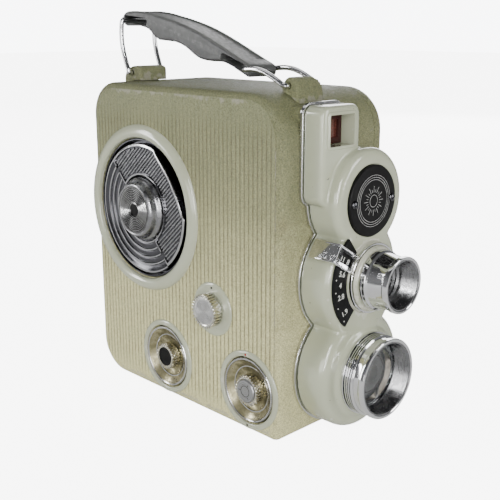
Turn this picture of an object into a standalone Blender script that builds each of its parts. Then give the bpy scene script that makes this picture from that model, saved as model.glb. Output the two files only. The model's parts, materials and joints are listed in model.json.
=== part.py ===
"""Spring-wound double-8 cine camera with a light meter, modelled as separate working pieces.

Frame: the origin is on the bottom face, halfway along the housing and in line with the tripod bush. The lens looks
along -Y, +Z is up, and the winding side is the -X side. Every size in this file is in
millimetres, and MM turns it into metres where a mesh is made.
"""
import math

import bmesh
import bpy
from mathutils import Matrix

MM = 0.001
GAP = 0.3                 # clearance between pieces that touch

# Housing
WIDTH = 55.9
DEPTH = 106.7
HEIGHT = 123.0
CORNER = 13.5             # radius of the two back corners in side view
CORNER_TOP_FRONT = 15.5
CORNER_LOW_FRONT = 4.0
WALL = 2.0
X_NEAR = -27.5
X_FAR = X_NEAR + WIDTH
Y_FRONT = -DEPTH / 2
Y_BACK = DEPTH / 2
X_SEAM = 21.4             # open edge of the housing
DOOR_THICK = X_FAR - X_SEAM - GAP
DOOR_ROUND = 5.0

# Front tower: heights of the three axes, all on the plane X = X_LENS
X_LENS = 3.0
Z_NAME = 86.6
Z_LENS = 59.3
Z_CELL = 23.6
X_FINDER = -8.4           # centre of the viewfinder block
Z_FINDER = 111.3
BLOCK_HALF = 9.8
BLOCK_TOP = 119.6
BLOCK_LOW = 86.0
BLOCK_DEPTH = 9.6
BOSS_RADIUS = 18.2
BOSS_FACE = 13.9
LOBE_RADIUS = 21.8
LOBE_FLATTER = 0.78
LOBE_FACE = 14.2
FOOT_RADIUS = 21.9
FOOT_FACE = 13.8
X_FOOT = 1.7
TRIM_PROUD = 0.7
TRIM_THICK = 1.2
SCALE_OUTER = 20.2
SCALE_INNER = 13.5
LEVER_LOW = LOBE_FACE + 1.4
LEVER_ANGLE = 32.0        # degrees above level, towards the winding side
TRIPOD_Y = -18.0

# Winding side: (Y, Z) of the axes
WINDING = (21.3, 74.9)
FRAME_SPEED = (-19.5, 43.0)
FILM_SPEED = (8.3, 16.4)
RELEASE = (-38.4, 16.5)
CUP_RADIUS = 27.5
CUP_DEPTH = 4.6
DIAL_RADIUS = 12.4
DIAL_DEPTH = 3.2
HINGE_LINE_TURN = 221.9   # degrees round the winding axis of the folding handle
HINGE_OFFSET = 2.6        # straight edge of the folding handle to the winding axis
PIN_LEVEL = -0.6

# Carrying handle
X_HANDLE = -7.6
BAIL_LENGTH = 21.5
BAIL_HALF = 8.4
BAIL_BULGE = 2.0
WIRE = 0.95               # radius of the bail wire
REAR_PIVOT = (43.5, 126.2)
FRONT_PIVOT = (-44.1, 125.1)
REAR_LEAN = 8.8           # degrees back from upright
FRONT_LEAN = 77.5
BRACKET_HALF = 6.8
GRIP_HALF = 6.8

# Film chamber
X_PLATE = -6.2            # near face of the mechanism plate
PLATE_THICK = 1.6
SPOOL_RADIUS = 25.4
SPOOL_HALF = 8.4
X_SPOOL = 7.6
Y_SPOOL = 24.0
Z_TAKE_UP = 36.0
Z_SUPPLY = 88.0
Y_GATE = -33.0
Y_SHUTTER = -40.2
CLAW_X = 10.4
GOVERNOR = (-3.9, 85.6)
METER = (-41.0, 92.0)
BUTTON_TRAVEL = 1.2

NEAR_SIDE = (0, math.radians(-90), 0)      # local Z points out of the winding side
FAR_SIDE = (0, math.radians(90), 0)        # local Z points out of the door side
FRONT_SIDE = (math.radians(90), 0, 0)      # local Z points forward
BACK_SIDE = (math.radians(-90), 0, 0)
UPRIGHT = (0, 0, 0)


# ---------------------------------------------------------------- scene and materials

def clear_scene():
    """Remove every object and make the two collections."""
    for item in list(bpy.data.objects):
        bpy.data.objects.remove(item, do_unlink=True)
    for name in ("cine_camera", "cutters"):
        group = bpy.data.collections.new(name)
        bpy.context.scene.collection.children.link(group)
    return bpy.data.collections["cine_camera"], bpy.data.collections["cutters"]


def finish(name, colour, roughness=0.4, metallic=0.0):
    """A Principled material."""
    material = bpy.data.materials.new(name)
    material.use_nodes = True
    shader = material.node_tree.nodes["Principled BSDF"]
    shader.inputs["Base Color"].default_value = (*colour, 1.0)
    shader.inputs["Roughness"].default_value = roughness
    shader.inputs["Metallic"].default_value = metallic
    return material


# ---------------------------------------------------------------- building blocks

def place(item, location, rotation):
    """Set an object's place, given in millimetres."""
    item.location = [value * MM for value in location]
    item.rotation_euler = rotation
    return item


def add(name, mesh, material, location=(0, 0, 0), rotation=UPRIGHT, group=None):
    """Link a mesh as a named object in the model's collection."""
    item = bpy.data.objects.new(name, mesh)
    (group or MODEL).objects.link(item)
    if material:
        mesh.materials.append(material)
    return place(item, location, rotation)


def arc(centre, radius, start, end, steps):
    """Points on an arc, angles in degrees from the first axis."""
    points = []
    for step in range(steps + 1):
        angle = math.radians(start + (end - start) * step / steps)
        points.append((centre[0] + radius * math.cos(angle), centre[1] + radius * math.sin(angle)))
    return points


def rounded_rectangle(width, height, radius, steps=6):
    """Outline centred on the origin."""
    across = width / 2 - radius
    along = height / 2 - radius
    points = []
    for quarter, (sign_x, sign_y) in enumerate(((1, 1), (-1, 1), (-1, -1), (1, -1))):
        centre = (sign_x * across, sign_y * along)
        points += arc(centre, radius, 90 * quarter, 90 * quarter + 90, steps)
    return points


def circle(radius, steps=40, centre=(0, 0)):
    """Outline of a full circle."""
    return arc(centre, radius, 0, 360, steps)[:-1]


def slab(name, outline, low, high, material=None, location=(0, 0, 0), rotation=UPRIGHT,
         round_high=0.0, round_low=0.0, segments=2, holes=(), group=None):
    """A flat outline given thickness along local Z, with its rims rounded on request."""
    curve = bpy.data.curves.new(name, "CURVE")
    curve.dimensions = "2D"
    curve.fill_mode = "BOTH"
    curve.extrude = (high - low) / 2 * MM
    for points in (outline, *holes):
        spline = curve.splines.new("POLY")
        spline.points.add(len(points) - 1)
        for vertex, (x, y) in zip(spline.points, points):
            vertex.co = (x * MM, y * MM, 0, 1)
        spline.use_cyclic_u = True
    guide = bpy.data.objects.new(name + "_outline", curve)
    CUTTERS.objects.link(guide)
    bpy.context.view_layer.update()
    evaluated = guide.evaluated_get(bpy.context.evaluated_depsgraph_get())
    mesh = bpy.data.meshes.new_from_object(evaluated)
    bpy.data.objects.remove(guide, do_unlink=True)
    mesh.materials.clear()
    shape = bmesh.new()
    shape.from_mesh(mesh)
    bmesh.ops.remove_doubles(shape, verts=shape.verts, dist=0.00001)
    bmesh.ops.translate(shape, verts=shape.verts, vec=(0, 0, (high + low) / 2 * MM))
    if not holes:
        bmesh.ops.dissolve_limit(shape, angle_limit=0.001, verts=shape.verts, edges=shape.edges)
    bmesh.ops.recalc_face_normals(shape, faces=shape.faces)
    for level, width in ((high, round_high), (low, round_low)):
        if width:
            rim = [edge for edge in shape.edges
                   if all(abs(v.co.z - level * MM) < 1e-6 for v in edge.verts)
                   and any(abs(face.normal.z) < 0.5 for face in edge.link_faces)]
            bmesh.ops.bevel(shape, geom=rim, offset=width * MM, segments=segments,
                            affect="EDGES", profile=0.5)
    shape.to_mesh(mesh)
    shape.free()
    return add(name, mesh, material, location, rotation, group)


def turned(name, profile, material=None, location=(0, 0, 0), rotation=UPRIGHT, steps=32,
           group=None):
    """A turned shape from (radius, height) points that run down its outer side.

    A profile that starts and ends on the axis is left open there; any other is closed to a ring.
    """
    mesh = bpy.data.meshes.new(name)
    points = [(radius * MM, 0, height * MM) for radius, height in profile]
    edges = [(index, index + 1) for index in range(len(points) - 1)]
    if profile[0][0] > 0:
        edges.append((len(points) - 1, 0))
    mesh.from_pydata(points, edges, [])
    item = add(name, mesh, material, location, rotation, group)
    screw = item.modifiers.new("turn", "SCREW")
    screw.steps = steps
    screw.render_steps = steps
    screw.use_merge_vertices = True
    screw.merge_threshold = 0.00001
    screw.use_smooth_shade = True
    return item


def disc(name, radius, low, high, material=None, location=(0, 0, 0), rotation=UPRIGHT, steps=32,
         edge=0.0, group=None):
    """A plain turned disc with an optional chamfer."""
    profile = [(0, high), (radius - edge, high), (radius, high - edge), (radius, low), (0, low)]
    if not edge:
        profile.pop(2)
    return turned(name, profile, material, location, rotation, steps, group)


def tube(name, outer, inner, low, high, material=None, location=(0, 0, 0), rotation=UPRIGHT,
         steps=32, edge=0.0, group=None):
    """A turned ring of rectangular section with an optional outer chamfer."""
    profile = [(inner, high), (outer - edge, high), (outer, high - edge), (outer, low), (inner, low)]
    if not edge:
        profile.pop(2)
    return turned(name, profile, material, location, rotation, steps, group)


def block(name, size, centre, material=None, rotation=UPRIGHT, bevel=0.0, group=None):
    """A box, made from a unit cube."""
    mesh = bpy.data.meshes.new(name)
    shape = bmesh.new()
    bmesh.ops.create_cube(shape, size=1.0)
    bmesh.ops.scale(shape, vec=[value * MM for value in size], verts=shape.verts)
    if bevel:
        bmesh.ops.bevel(shape, geom=list(shape.edges), offset=bevel * MM, segments=2,
                        affect="EDGES", profile=0.5)
    shape.to_mesh(mesh)
    shape.free()
    return add(name, mesh, material, centre, rotation, group)


def combine(target, other, operation):
    """Add an exact Boolean modifier and hide the other object."""
    modifier = target.modifiers.new(operation.lower() + "_" + other.name, "BOOLEAN")
    modifier.operation = operation
    modifier.solver = "EXACT"
    modifier.object = other
    other.hide_render = True
    other.display_type = "WIRE"
    return target


def cut(target, *cutters):
    """Take the cutters out of the target."""
    for cutter in cutters:
        combine(target, cutter, "DIFFERENCE")
    return target


def join(target, *others):
    """Unite the others with the target as one body."""
    for other in others:
        combine(target, other, "UNION")
    return target


def wire(name, points, radius, material, location, rotation):
    """A round bar along a list of (x, y, z) points."""
    curve = bpy.data.curves.new(name, "CURVE")
    curve.dimensions = "3D"
    curve.bevel_depth = radius * MM
    curve.bevel_resolution = 2
    curve.use_fill_caps = True
    spline = curve.splines.new("POLY")
    spline.points.add(len(points) - 1)
    for vertex, point in zip(spline.points, points):
        vertex.co = (*[value * MM for value in point], 1)
    item = bpy.data.objects.new(name, curve)
    MODEL.objects.link(item)
    curve.materials.append(material)
    return place(item, location, rotation)


def toothed(radius, depth, teeth):
    """Outline of a knurled or toothed rim, four points a tooth."""
    points = []
    for tooth in range(teeth):
        for share, reach in ((0.0, 0), (0.25, 1), (0.5, 1), (0.75, 0)):
            angle = 2 * math.pi * (tooth + share) / teeth
            reached = radius - depth + depth * reach
            points.append((reached * math.cos(angle), reached * math.sin(angle)))
    return points


def on_near_side(axis, out=0.0):
    """World place of a winding-side axis, given as (Y, Z)."""
    return (X_NEAR - out, axis[0], axis[1])


def on_front(x, z, out=0.0):
    """World place of a front axis."""
    return (x, Y_FRONT - out, z)


# ---------------------------------------------------------------- housing and door

def housing_outline(inset=0.0, flip=False):
    """Side view of the housing: local X is height and local Y is depth, from the back top corner.

    The door side is seen from the other way, so its heights are flipped.
    """
    points = []
    for quarter, (sign_z, sign_y, radius) in enumerate((
            (1, 1, CORNER), (-1, 1, CORNER), (-1, -1, CORNER_LOW_FRONT), (1, -1, CORNER_TOP_FRONT))):
        radius -= inset if radius > inset + 1 else radius - 1.5
        centre = (sign_z * (HEIGHT / 2 - inset - radius), sign_y * (DEPTH / 2 - inset - radius))
        points += arc(centre, radius, 90 * quarter, 90 * quarter + 90, 8 if radius > 8 else 4)
    if flip:
        points = [(-z, y) for z, y in points[::-1]]
    return points


def build_housing():
    """The die-cast housing, open on the door side."""
    centre = (X_NEAR, 0, HEIGHT / 2)
    length = X_SEAM - X_NEAR
    body = slab("main_body", housing_outline(), -length, 0, PAINT, centre, NEAR_SIDE,
                round_high=2.4, segments=3)
    top_pad = slab("front_pad", rounded_rectangle(2 * BLOCK_HALF - 1.0, 26.0, 3.0, 3),
                   -9.0, 0, None, on_front(X_FINDER, BLOCK_TOP - 13.6), FRONT_SIDE, group=CUTTERS)
    join(body, top_pad)
    chamber = slab("chamber", housing_outline(WALL), -length - 10, -WALL, None, centre, NEAR_SIDE,
                   group=CUTTERS)
    cut(body, chamber)
    for name, axis, radius in (("winding_hole", WINDING, CUP_RADIUS + GAP),
                               ("frame_speed_hole", FRAME_SPEED, 2.4),
                               ("film_speed_hole", FILM_SPEED, DIAL_RADIUS + GAP),
                               ("release_hole", RELEASE, DIAL_RADIUS + GAP)):
        cut(body, disc(name, radius, -8, 6, None, on_near_side(axis), NEAR_SIDE, 32, 0, CUTTERS))
    cut(body, disc("lens_hole", 8.3, -14, 6, None, on_front(X_LENS, Z_LENS), FRONT_SIDE, 32, 0,
                   CUTTERS))
    cut(body, block("finder_hole", (12.6, DEPTH + 30, 10.6), (X_FINDER, 0, Z_FINDER), group=CUTTERS))
    cut(body, disc("bush_hole", 5.5, -3, 5, None, (0, TRIPOD_Y, 0), UPRIGHT, 24, 0, CUTTERS))
    return body


def build_bottom():
    """The threaded bush for a tripod screw."""
    turned("tripod_bush", [(3.2, 7.6), (6.6, 7.6), (6.6, WALL + GAP), (5.2, WALL + GAP),
                           (5.2, 0.1), (3.2, 0.1)],
           BRASS, (0, TRIPOD_Y, 0), UPRIGHT, 24)


def build_door():
    """The lift-off film door and its turning latch."""
    centre = (X_SEAM + GAP, 0, HEIGHT / 2)
    door = slab("film_door", housing_outline(0, True), 0, DOOR_THICK, PAINT, centre, FAR_SIDE,
                round_high=DOOR_ROUND, segments=4)
    cut(door, slab("door_hollow", housing_outline(WALL + 0.8, True), -3, DOOR_THICK - 4.0, None, centre,
                   FAR_SIDE, group=CUTTERS))
    latch = (X_FAR, 26.0, HEIGHT / 2)
    cut(door, disc("latch_hole", 3.3, -9, 5, None, latch, FAR_SIDE, 24, 0, CUTTERS))
    knob = slab("door_latch_knob", toothed(9.0, 0.5, 30), GAP, 2.6, CHROME, latch, FAR_SIDE,
                round_high=0.4, segments=1)
    join(knob, disc("latch_stem", 3.0, -4.6, 1.0, None, latch, FAR_SIDE, 20, 0, CUTTERS))
    join(knob, block("latch_grip", (13.0, 2.4, 2.6), (X_FAR + 3.4, latch[1], latch[2]),
                     None, FAR_SIDE, 0.4, CUTTERS))
    slab("door_latch_bar", rounded_rectangle(22.0, 6.4, 3.0, 4), -6.2, -4.9, STEEL, latch, FAR_SIDE)


# ---------------------------------------------------------------- front tower

def block_outline(grow=0.0):
    """Front view of the viewfinder block, reaching down into the boss."""
    half = BLOCK_HALF + grow
    height = BLOCK_TOP - BLOCK_LOW
    points = rounded_rectangle(2 * half, height + 2 * grow, 3.6 + grow, 4)
    return [(x + X_FINDER, y + (BLOCK_TOP + BLOCK_LOW) / 2) for x, y in points]


def lobe_outline(grow=0.0):
    """Lens lobe: round on the winding side, flatter on the door side."""
    radius = LOBE_RADIUS + grow
    flatter = [(x * LOBE_FLATTER, z) for x, z in arc((0, 0), radius, -90, 90, 18)]
    return flatter + arc((0, 0), radius, 90, 270, 20)[1:-1]


def tower_parts(prefix, grow, faces, edges, low, high):
    """The tower's four shapes in one: block, boss, lens lobe and cell foot.

    Each shape starts at its own level below `low` and the lot is then trimmed to low..high.
    """
    block_face, boss_face, lobe_face, foot_face = faces
    block_edge, boss_edge, lobe_edge, foot_edge = edges
    body = slab(prefix, block_outline(grow), low - 1.0, block_face, None, (0, Y_FRONT, 0), FRONT_SIDE,
                round_high=block_edge, segments=3)
    join(body, slab(prefix + "_lobe", lobe_outline(grow), low - 1.6, lobe_face, None,
                    on_front(X_LENS, Z_LENS - 1.2), FRONT_SIDE, round_high=lobe_edge, segments=4,
                    group=CUTTERS))
    for name, centre, radius, face, edge, start in (
            ("boss", (X_LENS, Z_NAME), BOSS_RADIUS, boss_face, boss_edge, 1.3),
            ("foot", (X_FOOT, Z_CELL + 0.8), FOOT_RADIUS, foot_face, foot_edge, 1.9)):
        join(body, slab(prefix + "_" + name, circle(radius + grow), low - start, face, None,
                        on_front(*centre), FRONT_SIDE, round_high=edge, segments=4, group=CUTTERS))
    keep = block(prefix + "_keep", (90.0, high - low, 180.0), (0, Y_FRONT - (high + low) / 2, 60.0),
                 group=CUTTERS)
    return combine(body, keep, "INTERSECT")


def build_tower():
    """The chrome foot plate, the enamelled tower and its nameplate."""
    faces = (BLOCK_DEPTH, BOSS_FACE, LOBE_FACE, FOOT_FACE)
    edges = (1.2, 2.2, 3.0, 3.6)
    trim = tower_parts("front_trim", TRIM_PROUD, faces, edges, GAP, GAP + TRIM_THICK)
    trim.data.materials.append(CHROME)
    tower = tower_parts("front_casting", 0.0, faces, edges, GAP * 2 + TRIM_THICK, 30.0)
    tower.data.materials.append(ENAMEL)
    cone = turned("lens_cone", [(0, 18.0), (11.4, 18.0), (11.9, LEVER_LOW + 1.2), (10.8, LEVER_LOW + 1.2),
                               (10.8, LEVER_LOW - 0.3), (12.7, LEVER_LOW - 0.3), (13.2, 14.0),
                               (13.2, 8.0), (0, 8.0)], None, on_front(X_LENS, Z_LENS), FRONT_SIDE, 40, CUTTERS)
    join(tower, cone)
    window = block("finder_window", (12.6, 40.0, 10.6), (X_FINDER, Y_FRONT - 10.0, Z_FINDER),
                   group=CUTTERS)
    bore = disc("lens_bore", 8.3, -6, 30, None, on_front(X_LENS, Z_LENS), FRONT_SIDE, 32, 0, CUTTERS)
    cell_bore = disc("cell_bore", 12.0, 5.3, 31, None, on_front(X_LENS, Z_CELL), FRONT_SIDE, 36, 0,
                     CUTTERS)
    name_seat = disc("name_seat", 12.8, 13.2, 30, None, on_front(X_LENS, Z_NAME), FRONT_SIDE, 32, 0,
                     CUTTERS)
    cut(tower, window, bore, cell_bore, name_seat)
    cut(trim, window, bore)
    plate = disc("nameplate_disc", 12.5, 13.5, 15.0, BLACK, on_front(X_LENS, Z_NAME), FRONT_SIDE, 40,
                 0.3)
    for side, x in (("left", -10.2), ("right", 10.2)):
        spot = on_front(X_LENS + x, Z_NAME)
        cut(plate, disc("screw_hole_" + side, 1.0, 12.8, 16, None, spot, FRONT_SIDE, 16, 0, CUTTERS))
        turned("nameplate_screw_" + side, [(0, 15.9), (0.9, 15.7), (1.5, 15.3), (0.7, 15.3),
                                           (0.7, 13.6), (0, 13.6)],
               STEEL, spot, FRONT_SIDE, 16)


def build_scale_and_lever():
    """The aperture scale on the lens lobe and the lever that sweeps over it."""
    spot = on_front(X_LENS, Z_LENS)
    outline = arc((0, 0), SCALE_OUTER, 128, 228, 16) + arc((0, 0), SCALE_INNER, 228, 128, 12)
    slab("aperture_scale", outline, LOBE_FACE + 0.6, LOBE_FACE + 1.0, BLACK, spot, FRONT_SIDE)
    lever = tube("iris_lever", 12.6, 11.2, LEVER_LOW, LEVER_LOW + 0.9, CHROME, spot, FRONT_SIDE, 40)
    lift = math.radians(LEVER_ANGLE)
    arm = slab("lever_arm", [(-12.0, -3.4), (-12.0, 3.4), (-23.8, 3.6), (-23.8, -3.6)], LEVER_LOW,
               LEVER_LOW + 0.9, None, spot, FRONT_SIDE, group=CUTTERS,
               holes=([(-13.6, -1.9), (-13.6, 1.9), (-21.2, 1.9), (-21.2, -1.9)],))
    tab = slab("lever_tab", [(-23.8, -3.6), (-23.8, 3.6), (-22.9, 3.6), (-22.9, -3.6)], 4.6,
               LEVER_LOW + 0.5, None, spot, FRONT_SIDE, group=CUTTERS)
    for piece in (arm, tab):
        piece.data.transform(Matrix.Rotation(-lift, 4, "Z"))
    join(lever, arm, tab)


def build_finder():
    """Viewfinder glass, tunnel and eyepiece."""
    block("finder_front_glass", (12.0, 1.6, 10.0), (X_FINDER, Y_FRONT - 2.6, Z_FINDER), GLASS)
    tunnel = block("finder_tube", (12.0, 92.0, 10.0), (X_FINDER, -3.0, Z_FINDER), STEEL)
    cut(tunnel, block("tunnel_bore", (10.8, 120.0, 8.8), (X_FINDER, 0, Z_FINDER), group=CUTTERS))
    eyepiece = block("finder_eyepiece", (12.0, 10.0, 10.0), (X_FINDER, Y_BACK - 4.2, Z_FINDER), BLACK,
                     bevel=0.8)
    cut(eyepiece, disc("eye_bore", 3.6, -20, 20, None, (X_FINDER, Y_BACK, Z_FINDER), BACK_SIDE, 24, 0,
                       CUTTERS))


def build_cell():
    """The meter cell's chrome hood, its glass and the selenium cell."""
    spot = on_front(X_LENS, Z_CELL)
    turned("cell_hood", [(13.6, 24.4), (14.5, 24.4), (14.8, 24.0), (14.8, 22.8), (14.3, 22.0),
                         (14.3, 17.4), (14.9, 17.2), (14.9, 16.4), (14.6, 16.2), (15.2, 16.0),
                         (15.2, 15.2), (14.9, 14.8), (11.6, 14.8), (11.6, 6.0), (10.8, 6.0),
                         (10.8, 15.7), (12.9, 15.7), (13.0, 17.6)],
           CHROME, spot, FRONT_SIDE, 48)
    turned("cell_lens", [(0, 19.6), (4.5, 19.3), (8.8, 18.4), (12.6, 17.0), (12.6, 16.0), (0, 16.0)], GLASS,
           spot, FRONT_SIDE, 40)
    slab("selenium_cell", rounded_rectangle(16.0, 12.0, 1.0, 2), 8.0, 9.2, SELENIUM, spot, FRONT_SIDE)


def build_lens():
    """The taking lens in its hooded barrel."""
    spot = on_front(X_LENS, Z_LENS)
    turned("lens_barrel", [(9.0, 29.2), (9.8, 29.2), (10.05, 28.8), (10.05, 27.4), (9.5, 26.6),
                           (9.9, 21.0), (10.7, 20.4), (10.7, 18.4), (8.0, 18.4), (8.0, -9.0),
                           (5.0, -9.0), (5.0, 17.0), (8.4, 22.0)],
           CHROME, spot, FRONT_SIDE, 48)
    turned("lens_front_element", [(0, 14.6), (3.0, 14.2), (4.7, 13.2), (4.7, 11.4), (0, 11.4)], GLASS,
           spot, FRONT_SIDE, 32)
    turned("lens_rear_element", [(0, -5.0), (4.7, -5.0), (4.7, -6.4), (0, -7.4)], GLASS, spot,
           FRONT_SIDE, 24)


# ---------------------------------------------------------------- winding side

def build_winding():
    """The winding key with its folding handle, and the spring it winds."""
    spot = on_near_side(WINDING)
    turned("winding_bezel", [(CUP_RADIUS + 0.5, 1.6), (29.4, 2.3), (31.4, 2.0), (32.7, 1.0), (33.0, GAP),
                             (CUP_RADIUS + 0.5, GAP)],
           ENAMEL, spot, NEAR_SIDE, 56)
    turned("winding_cup", [(26.8, 0.2), (CUP_RADIUS, 0.2), (CUP_RADIUS, -CUP_DEPTH), (3.4, -CUP_DEPTH),
                           (3.4, -CUP_DEPTH + 0.7), (26.8, -CUP_DEPTH + 0.7)],
           STEEL, spot, NEAR_SIDE, 48)
    build_key(spot)
    tube("winding_arbor", 2.8, 1.2, -20.4, -3.9, STEEL, spot, NEAR_SIDE, 20)
    barrel_low = X_NEAR - (X_PLATE - 3.4)
    turned("spring_barrel", [(21.2, -5.6), (22.4, -5.6), (22.4, barrel_low), (3.6, barrel_low),
                             (3.6, barrel_low + 1.0), (21.2, barrel_low + 1.0)],
           BRASS, spot, NEAR_SIDE, 40)
    great = slab("great_wheel", toothed(23.4, 1.4, 48), barrel_low - 1.7, barrel_low - 0.4, BRASS, spot,
                 NEAR_SIDE)
    cut(great, disc("great_bore", 3.6, -40, 0, None, spot, NEAR_SIDE, 24, 0, CUTTERS))
    build_mainspring(spot, barrel_low)


def build_mainspring(spot, barrel_low):
    """The wound steel ribbon in the barrel."""
    turns = 4.5
    steps = 90
    inner = []
    outer = []
    for step in range(steps + 1):
        share = step / steps
        angle = 2 * math.pi * turns * share
        radius = 5.0 + 15.2 * share
        for points, offset in ((inner, 0), (outer, 0.7)):
            points.append(((radius + offset) * math.cos(angle), (radius + offset) * math.sin(angle)))
    slab("mainspring", outer + inner[::-1], barrel_low + 1.6, -6.4, STEEL, spot, NEAR_SIDE)


def build_key(spot):
    """The winding disc, its hub and the handle that folds out of it."""
    turn = Matrix.Rotation(math.radians(HINGE_LINE_TURN), 4, "Z")
    chord = -HINGE_OFFSET
    hinge = turn @ Matrix.Translation((0, (chord + 1.2) * MM, PIN_LEVEL * MM))
    along = hinge @ Matrix.Rotation(math.radians(90), 4, "Y")
    key = turned("winding_disc", [(0, 0.3), (25.4, 0.3), (26.2, -0.4), (26.2, -3.3), (0, -3.3)],
                 DARK_CHROME, spot, NEAR_SIDE, 48)
    pocket = slab("handle_pocket", key_segment(30.0, chord - 0.45), -2.4, 5, None, spot, NEAR_SIDE,
                  group=CUTTERS)
    pocket.data.transform(turn)
    cut(key, pocket)
    join(key, disc("hub_seat", 10.2, -3.0, 0.6, None, spot, NEAR_SIDE, 32, 0, CUTTERS))
    handle = slab("winding_handle", key_segment(25.6, chord, 13.2, True), -1.5, 0.5, DARK_CHROME,
                  spot, NEAR_SIDE, round_high=0.3, segments=1)
    handle.data.transform(turn)
    for end in (-1, 1):
        for name, size, target in (("lug", (2.2, 3.6, 20.0), pocket),
                                   ("lug_room", (3.0, 4.4, 9.0), handle)):
            lug = block("hinge_" + name, size, (0, 0, 0), None, group=CUTTERS)
            lug.data.transform(hinge @ Matrix.Translation((end * 20.6 * MM, -0.6 * MM, 0)))
            cut(target, place(lug, spot, NEAR_SIDE))
    pin_room = disc("pin_room", 0.6, -24.6, 24.6, None, spot, NEAR_SIDE, 12, 0, CUTTERS)
    spin_to(pin_room, along)
    cut(key, pin_room)
    cut(handle, pin_room)
    spin_to(disc("winding_hinge_pin", 0.35, -23.6, 23.6, STEEL, spot, NEAR_SIDE, 10), along)
    turned("winding_hub", [(0, 4.5), (2.7, 4.5), (3.0, 5.1), (10.0, 5.1), (10.6, 4.6), (11.3, 2.2),
                           (12.0, 0.9), (0, 0.9)],
           DARK_CHROME, spot, NEAR_SIDE, 40)


def spin_to(item, matrix):
    """Turn a shape in its own frame, after its own modifiers."""
    mesh = bpy.data.meshes.new_from_object(solved(item))
    for modifier in list(item.modifiers):
        item.modifiers.remove(modifier)
    mesh.transform(matrix)
    item.data = mesh
    return item


def solved(item):
    """The object with its modifiers worked out."""
    bpy.context.view_layer.update()
    return item.evaluated_get(bpy.context.evaluated_depsgraph_get())


def key_segment(radius, chord, cut_out=0.0, notch=False):
    """The part of a disc beyond a chord, on request with a cut-out for the hub."""
    half = math.degrees(math.asin(chord / radius))
    points = arc((0, 0), radius, half, 180 - half, 28)
    if notch:
        points = [notched(point, radius) for point in points]
    if cut_out:
        inner = math.degrees(math.asin(chord / cut_out))
        points += arc((0, 0), cut_out, 180 - inner, inner, 16)
    return points


def notched(point, radius):
    """Draw the rim in where a finger gets under the handle."""
    angle = math.degrees(math.atan2(point[1], point[0]))
    if not 48 < angle < 118:
        return point
    depth = 3.4 * math.sin(math.pi * (angle - 48) / 70) ** 0.5
    return tuple(value * (radius - depth) / radius for value in point)


def build_side_controls():
    """Frame-speed knob, film-speed dial and release dial."""
    spot = on_near_side(FRAME_SPEED)
    turned("frame_speed_bezel", [(2.4, 1.0), (9.6, 1.0), (10.3, 0.6), (10.3, GAP), (2.4, GAP)], ENAMEL,
           spot, NEAR_SIDE, 40)
    speed = slab("frame_speed_knob", toothed(6.5, 0.45, 32), 1.4, 5.2, CHROME, spot, NEAR_SIDE)
    join(speed, disc("speed_stem", 2.0, -6.0, 2.0, None, spot, NEAR_SIDE, 16, 0, CUTTERS))
    cut(speed, disc("speed_face", 5.4, 4.9, 8, None, spot, NEAR_SIDE, 32, 0, CUTTERS))
    for name, axis, knob_radius in (("film_speed", FILM_SPEED, 5.3), ("release", RELEASE, 5.8)):
        spot = on_near_side(axis)
        turned(name + "_bezel", [(DIAL_RADIUS + 0.5, 1.0), (14.6, 1.0), (15.1, 0.6), (15.1, GAP),
                                 (DIAL_RADIUS + 0.5, GAP)],
               ENAMEL, spot, NEAR_SIDE, 48)
        turned(name + "_dial", [(0, -2.4), (6.6, -2.4), (11.0, 0.3), (11.6, 0.8), (DIAL_RADIUS, 0.3),
                                (DIAL_RADIUS, -0.4), (7.0, -DIAL_DEPTH), (0, -DIAL_DEPTH)],
               BRASS, spot, NEAR_SIDE, 48)
        knob = slab(name + "_knob", toothed(knob_radius, 0.45, 28), -2.0, 1.6, CHROME, spot, NEAR_SIDE)
        if name == "release":
            cut(knob, disc("button_well", 4.6, -0.9, 8, None, spot, NEAR_SIDE, 32, 0, CUTTERS))
            disc("release_button", 4.3, BUTTON_TRAVEL - 0.6, 2.2, STEEL, spot, NEAR_SIDE, 32, 0.3)
        else:
            cut(knob, disc("knob_face", 3.9, 1.3, 8, None, spot, NEAR_SIDE, 32, 0, CUTTERS))


# ---------------------------------------------------------------- carrying handle

def build_brackets():
    """The two bail brackets, whose feet follow the top of the housing."""
    shapes = (("rear", REAR_PIVOT, [(37.6, 116.0), (37.6, 127.6), (38.8, 128.8), (41.0, 129.0),
                                    (45.6, 128.2), (48.0, 126.6), (49.0, 124.4), (49.0, 116.0)]),
              ("front", FRONT_PIVOT, [(-48.4, 114.0), (-48.0, 124.0), (-46.4, 127.4), (-45.2, 128.0),
                                      (-43.0, 127.8), (-41.4, 126.4), (-40.6, 124.6), (-40.6, 114.0)]))
    for side, pivot, outline in shapes:
        side_view = [(z, y) for y, z in outline]
        bracket = slab(side + "_bracket", side_view, -BRACKET_HALF, BRACKET_HALF, PAINT,
                       (X_HANDLE, 0, 0), NEAR_SIDE, round_high=0.8, round_low=0.8, segments=1)
        cut(bracket, slab(side + "_bracket_seat", housing_outline(-GAP), -60, 60, None,
                          (0, 0, HEIGHT / 2), NEAR_SIDE, group=CUTTERS))
        cut(bracket, disc(side + "_pivot_hole", WIRE + GAP, -30, 30, None, (X_HANDLE, *pivot),
                          NEAR_SIDE, 16, 0, CUTTERS))


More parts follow.
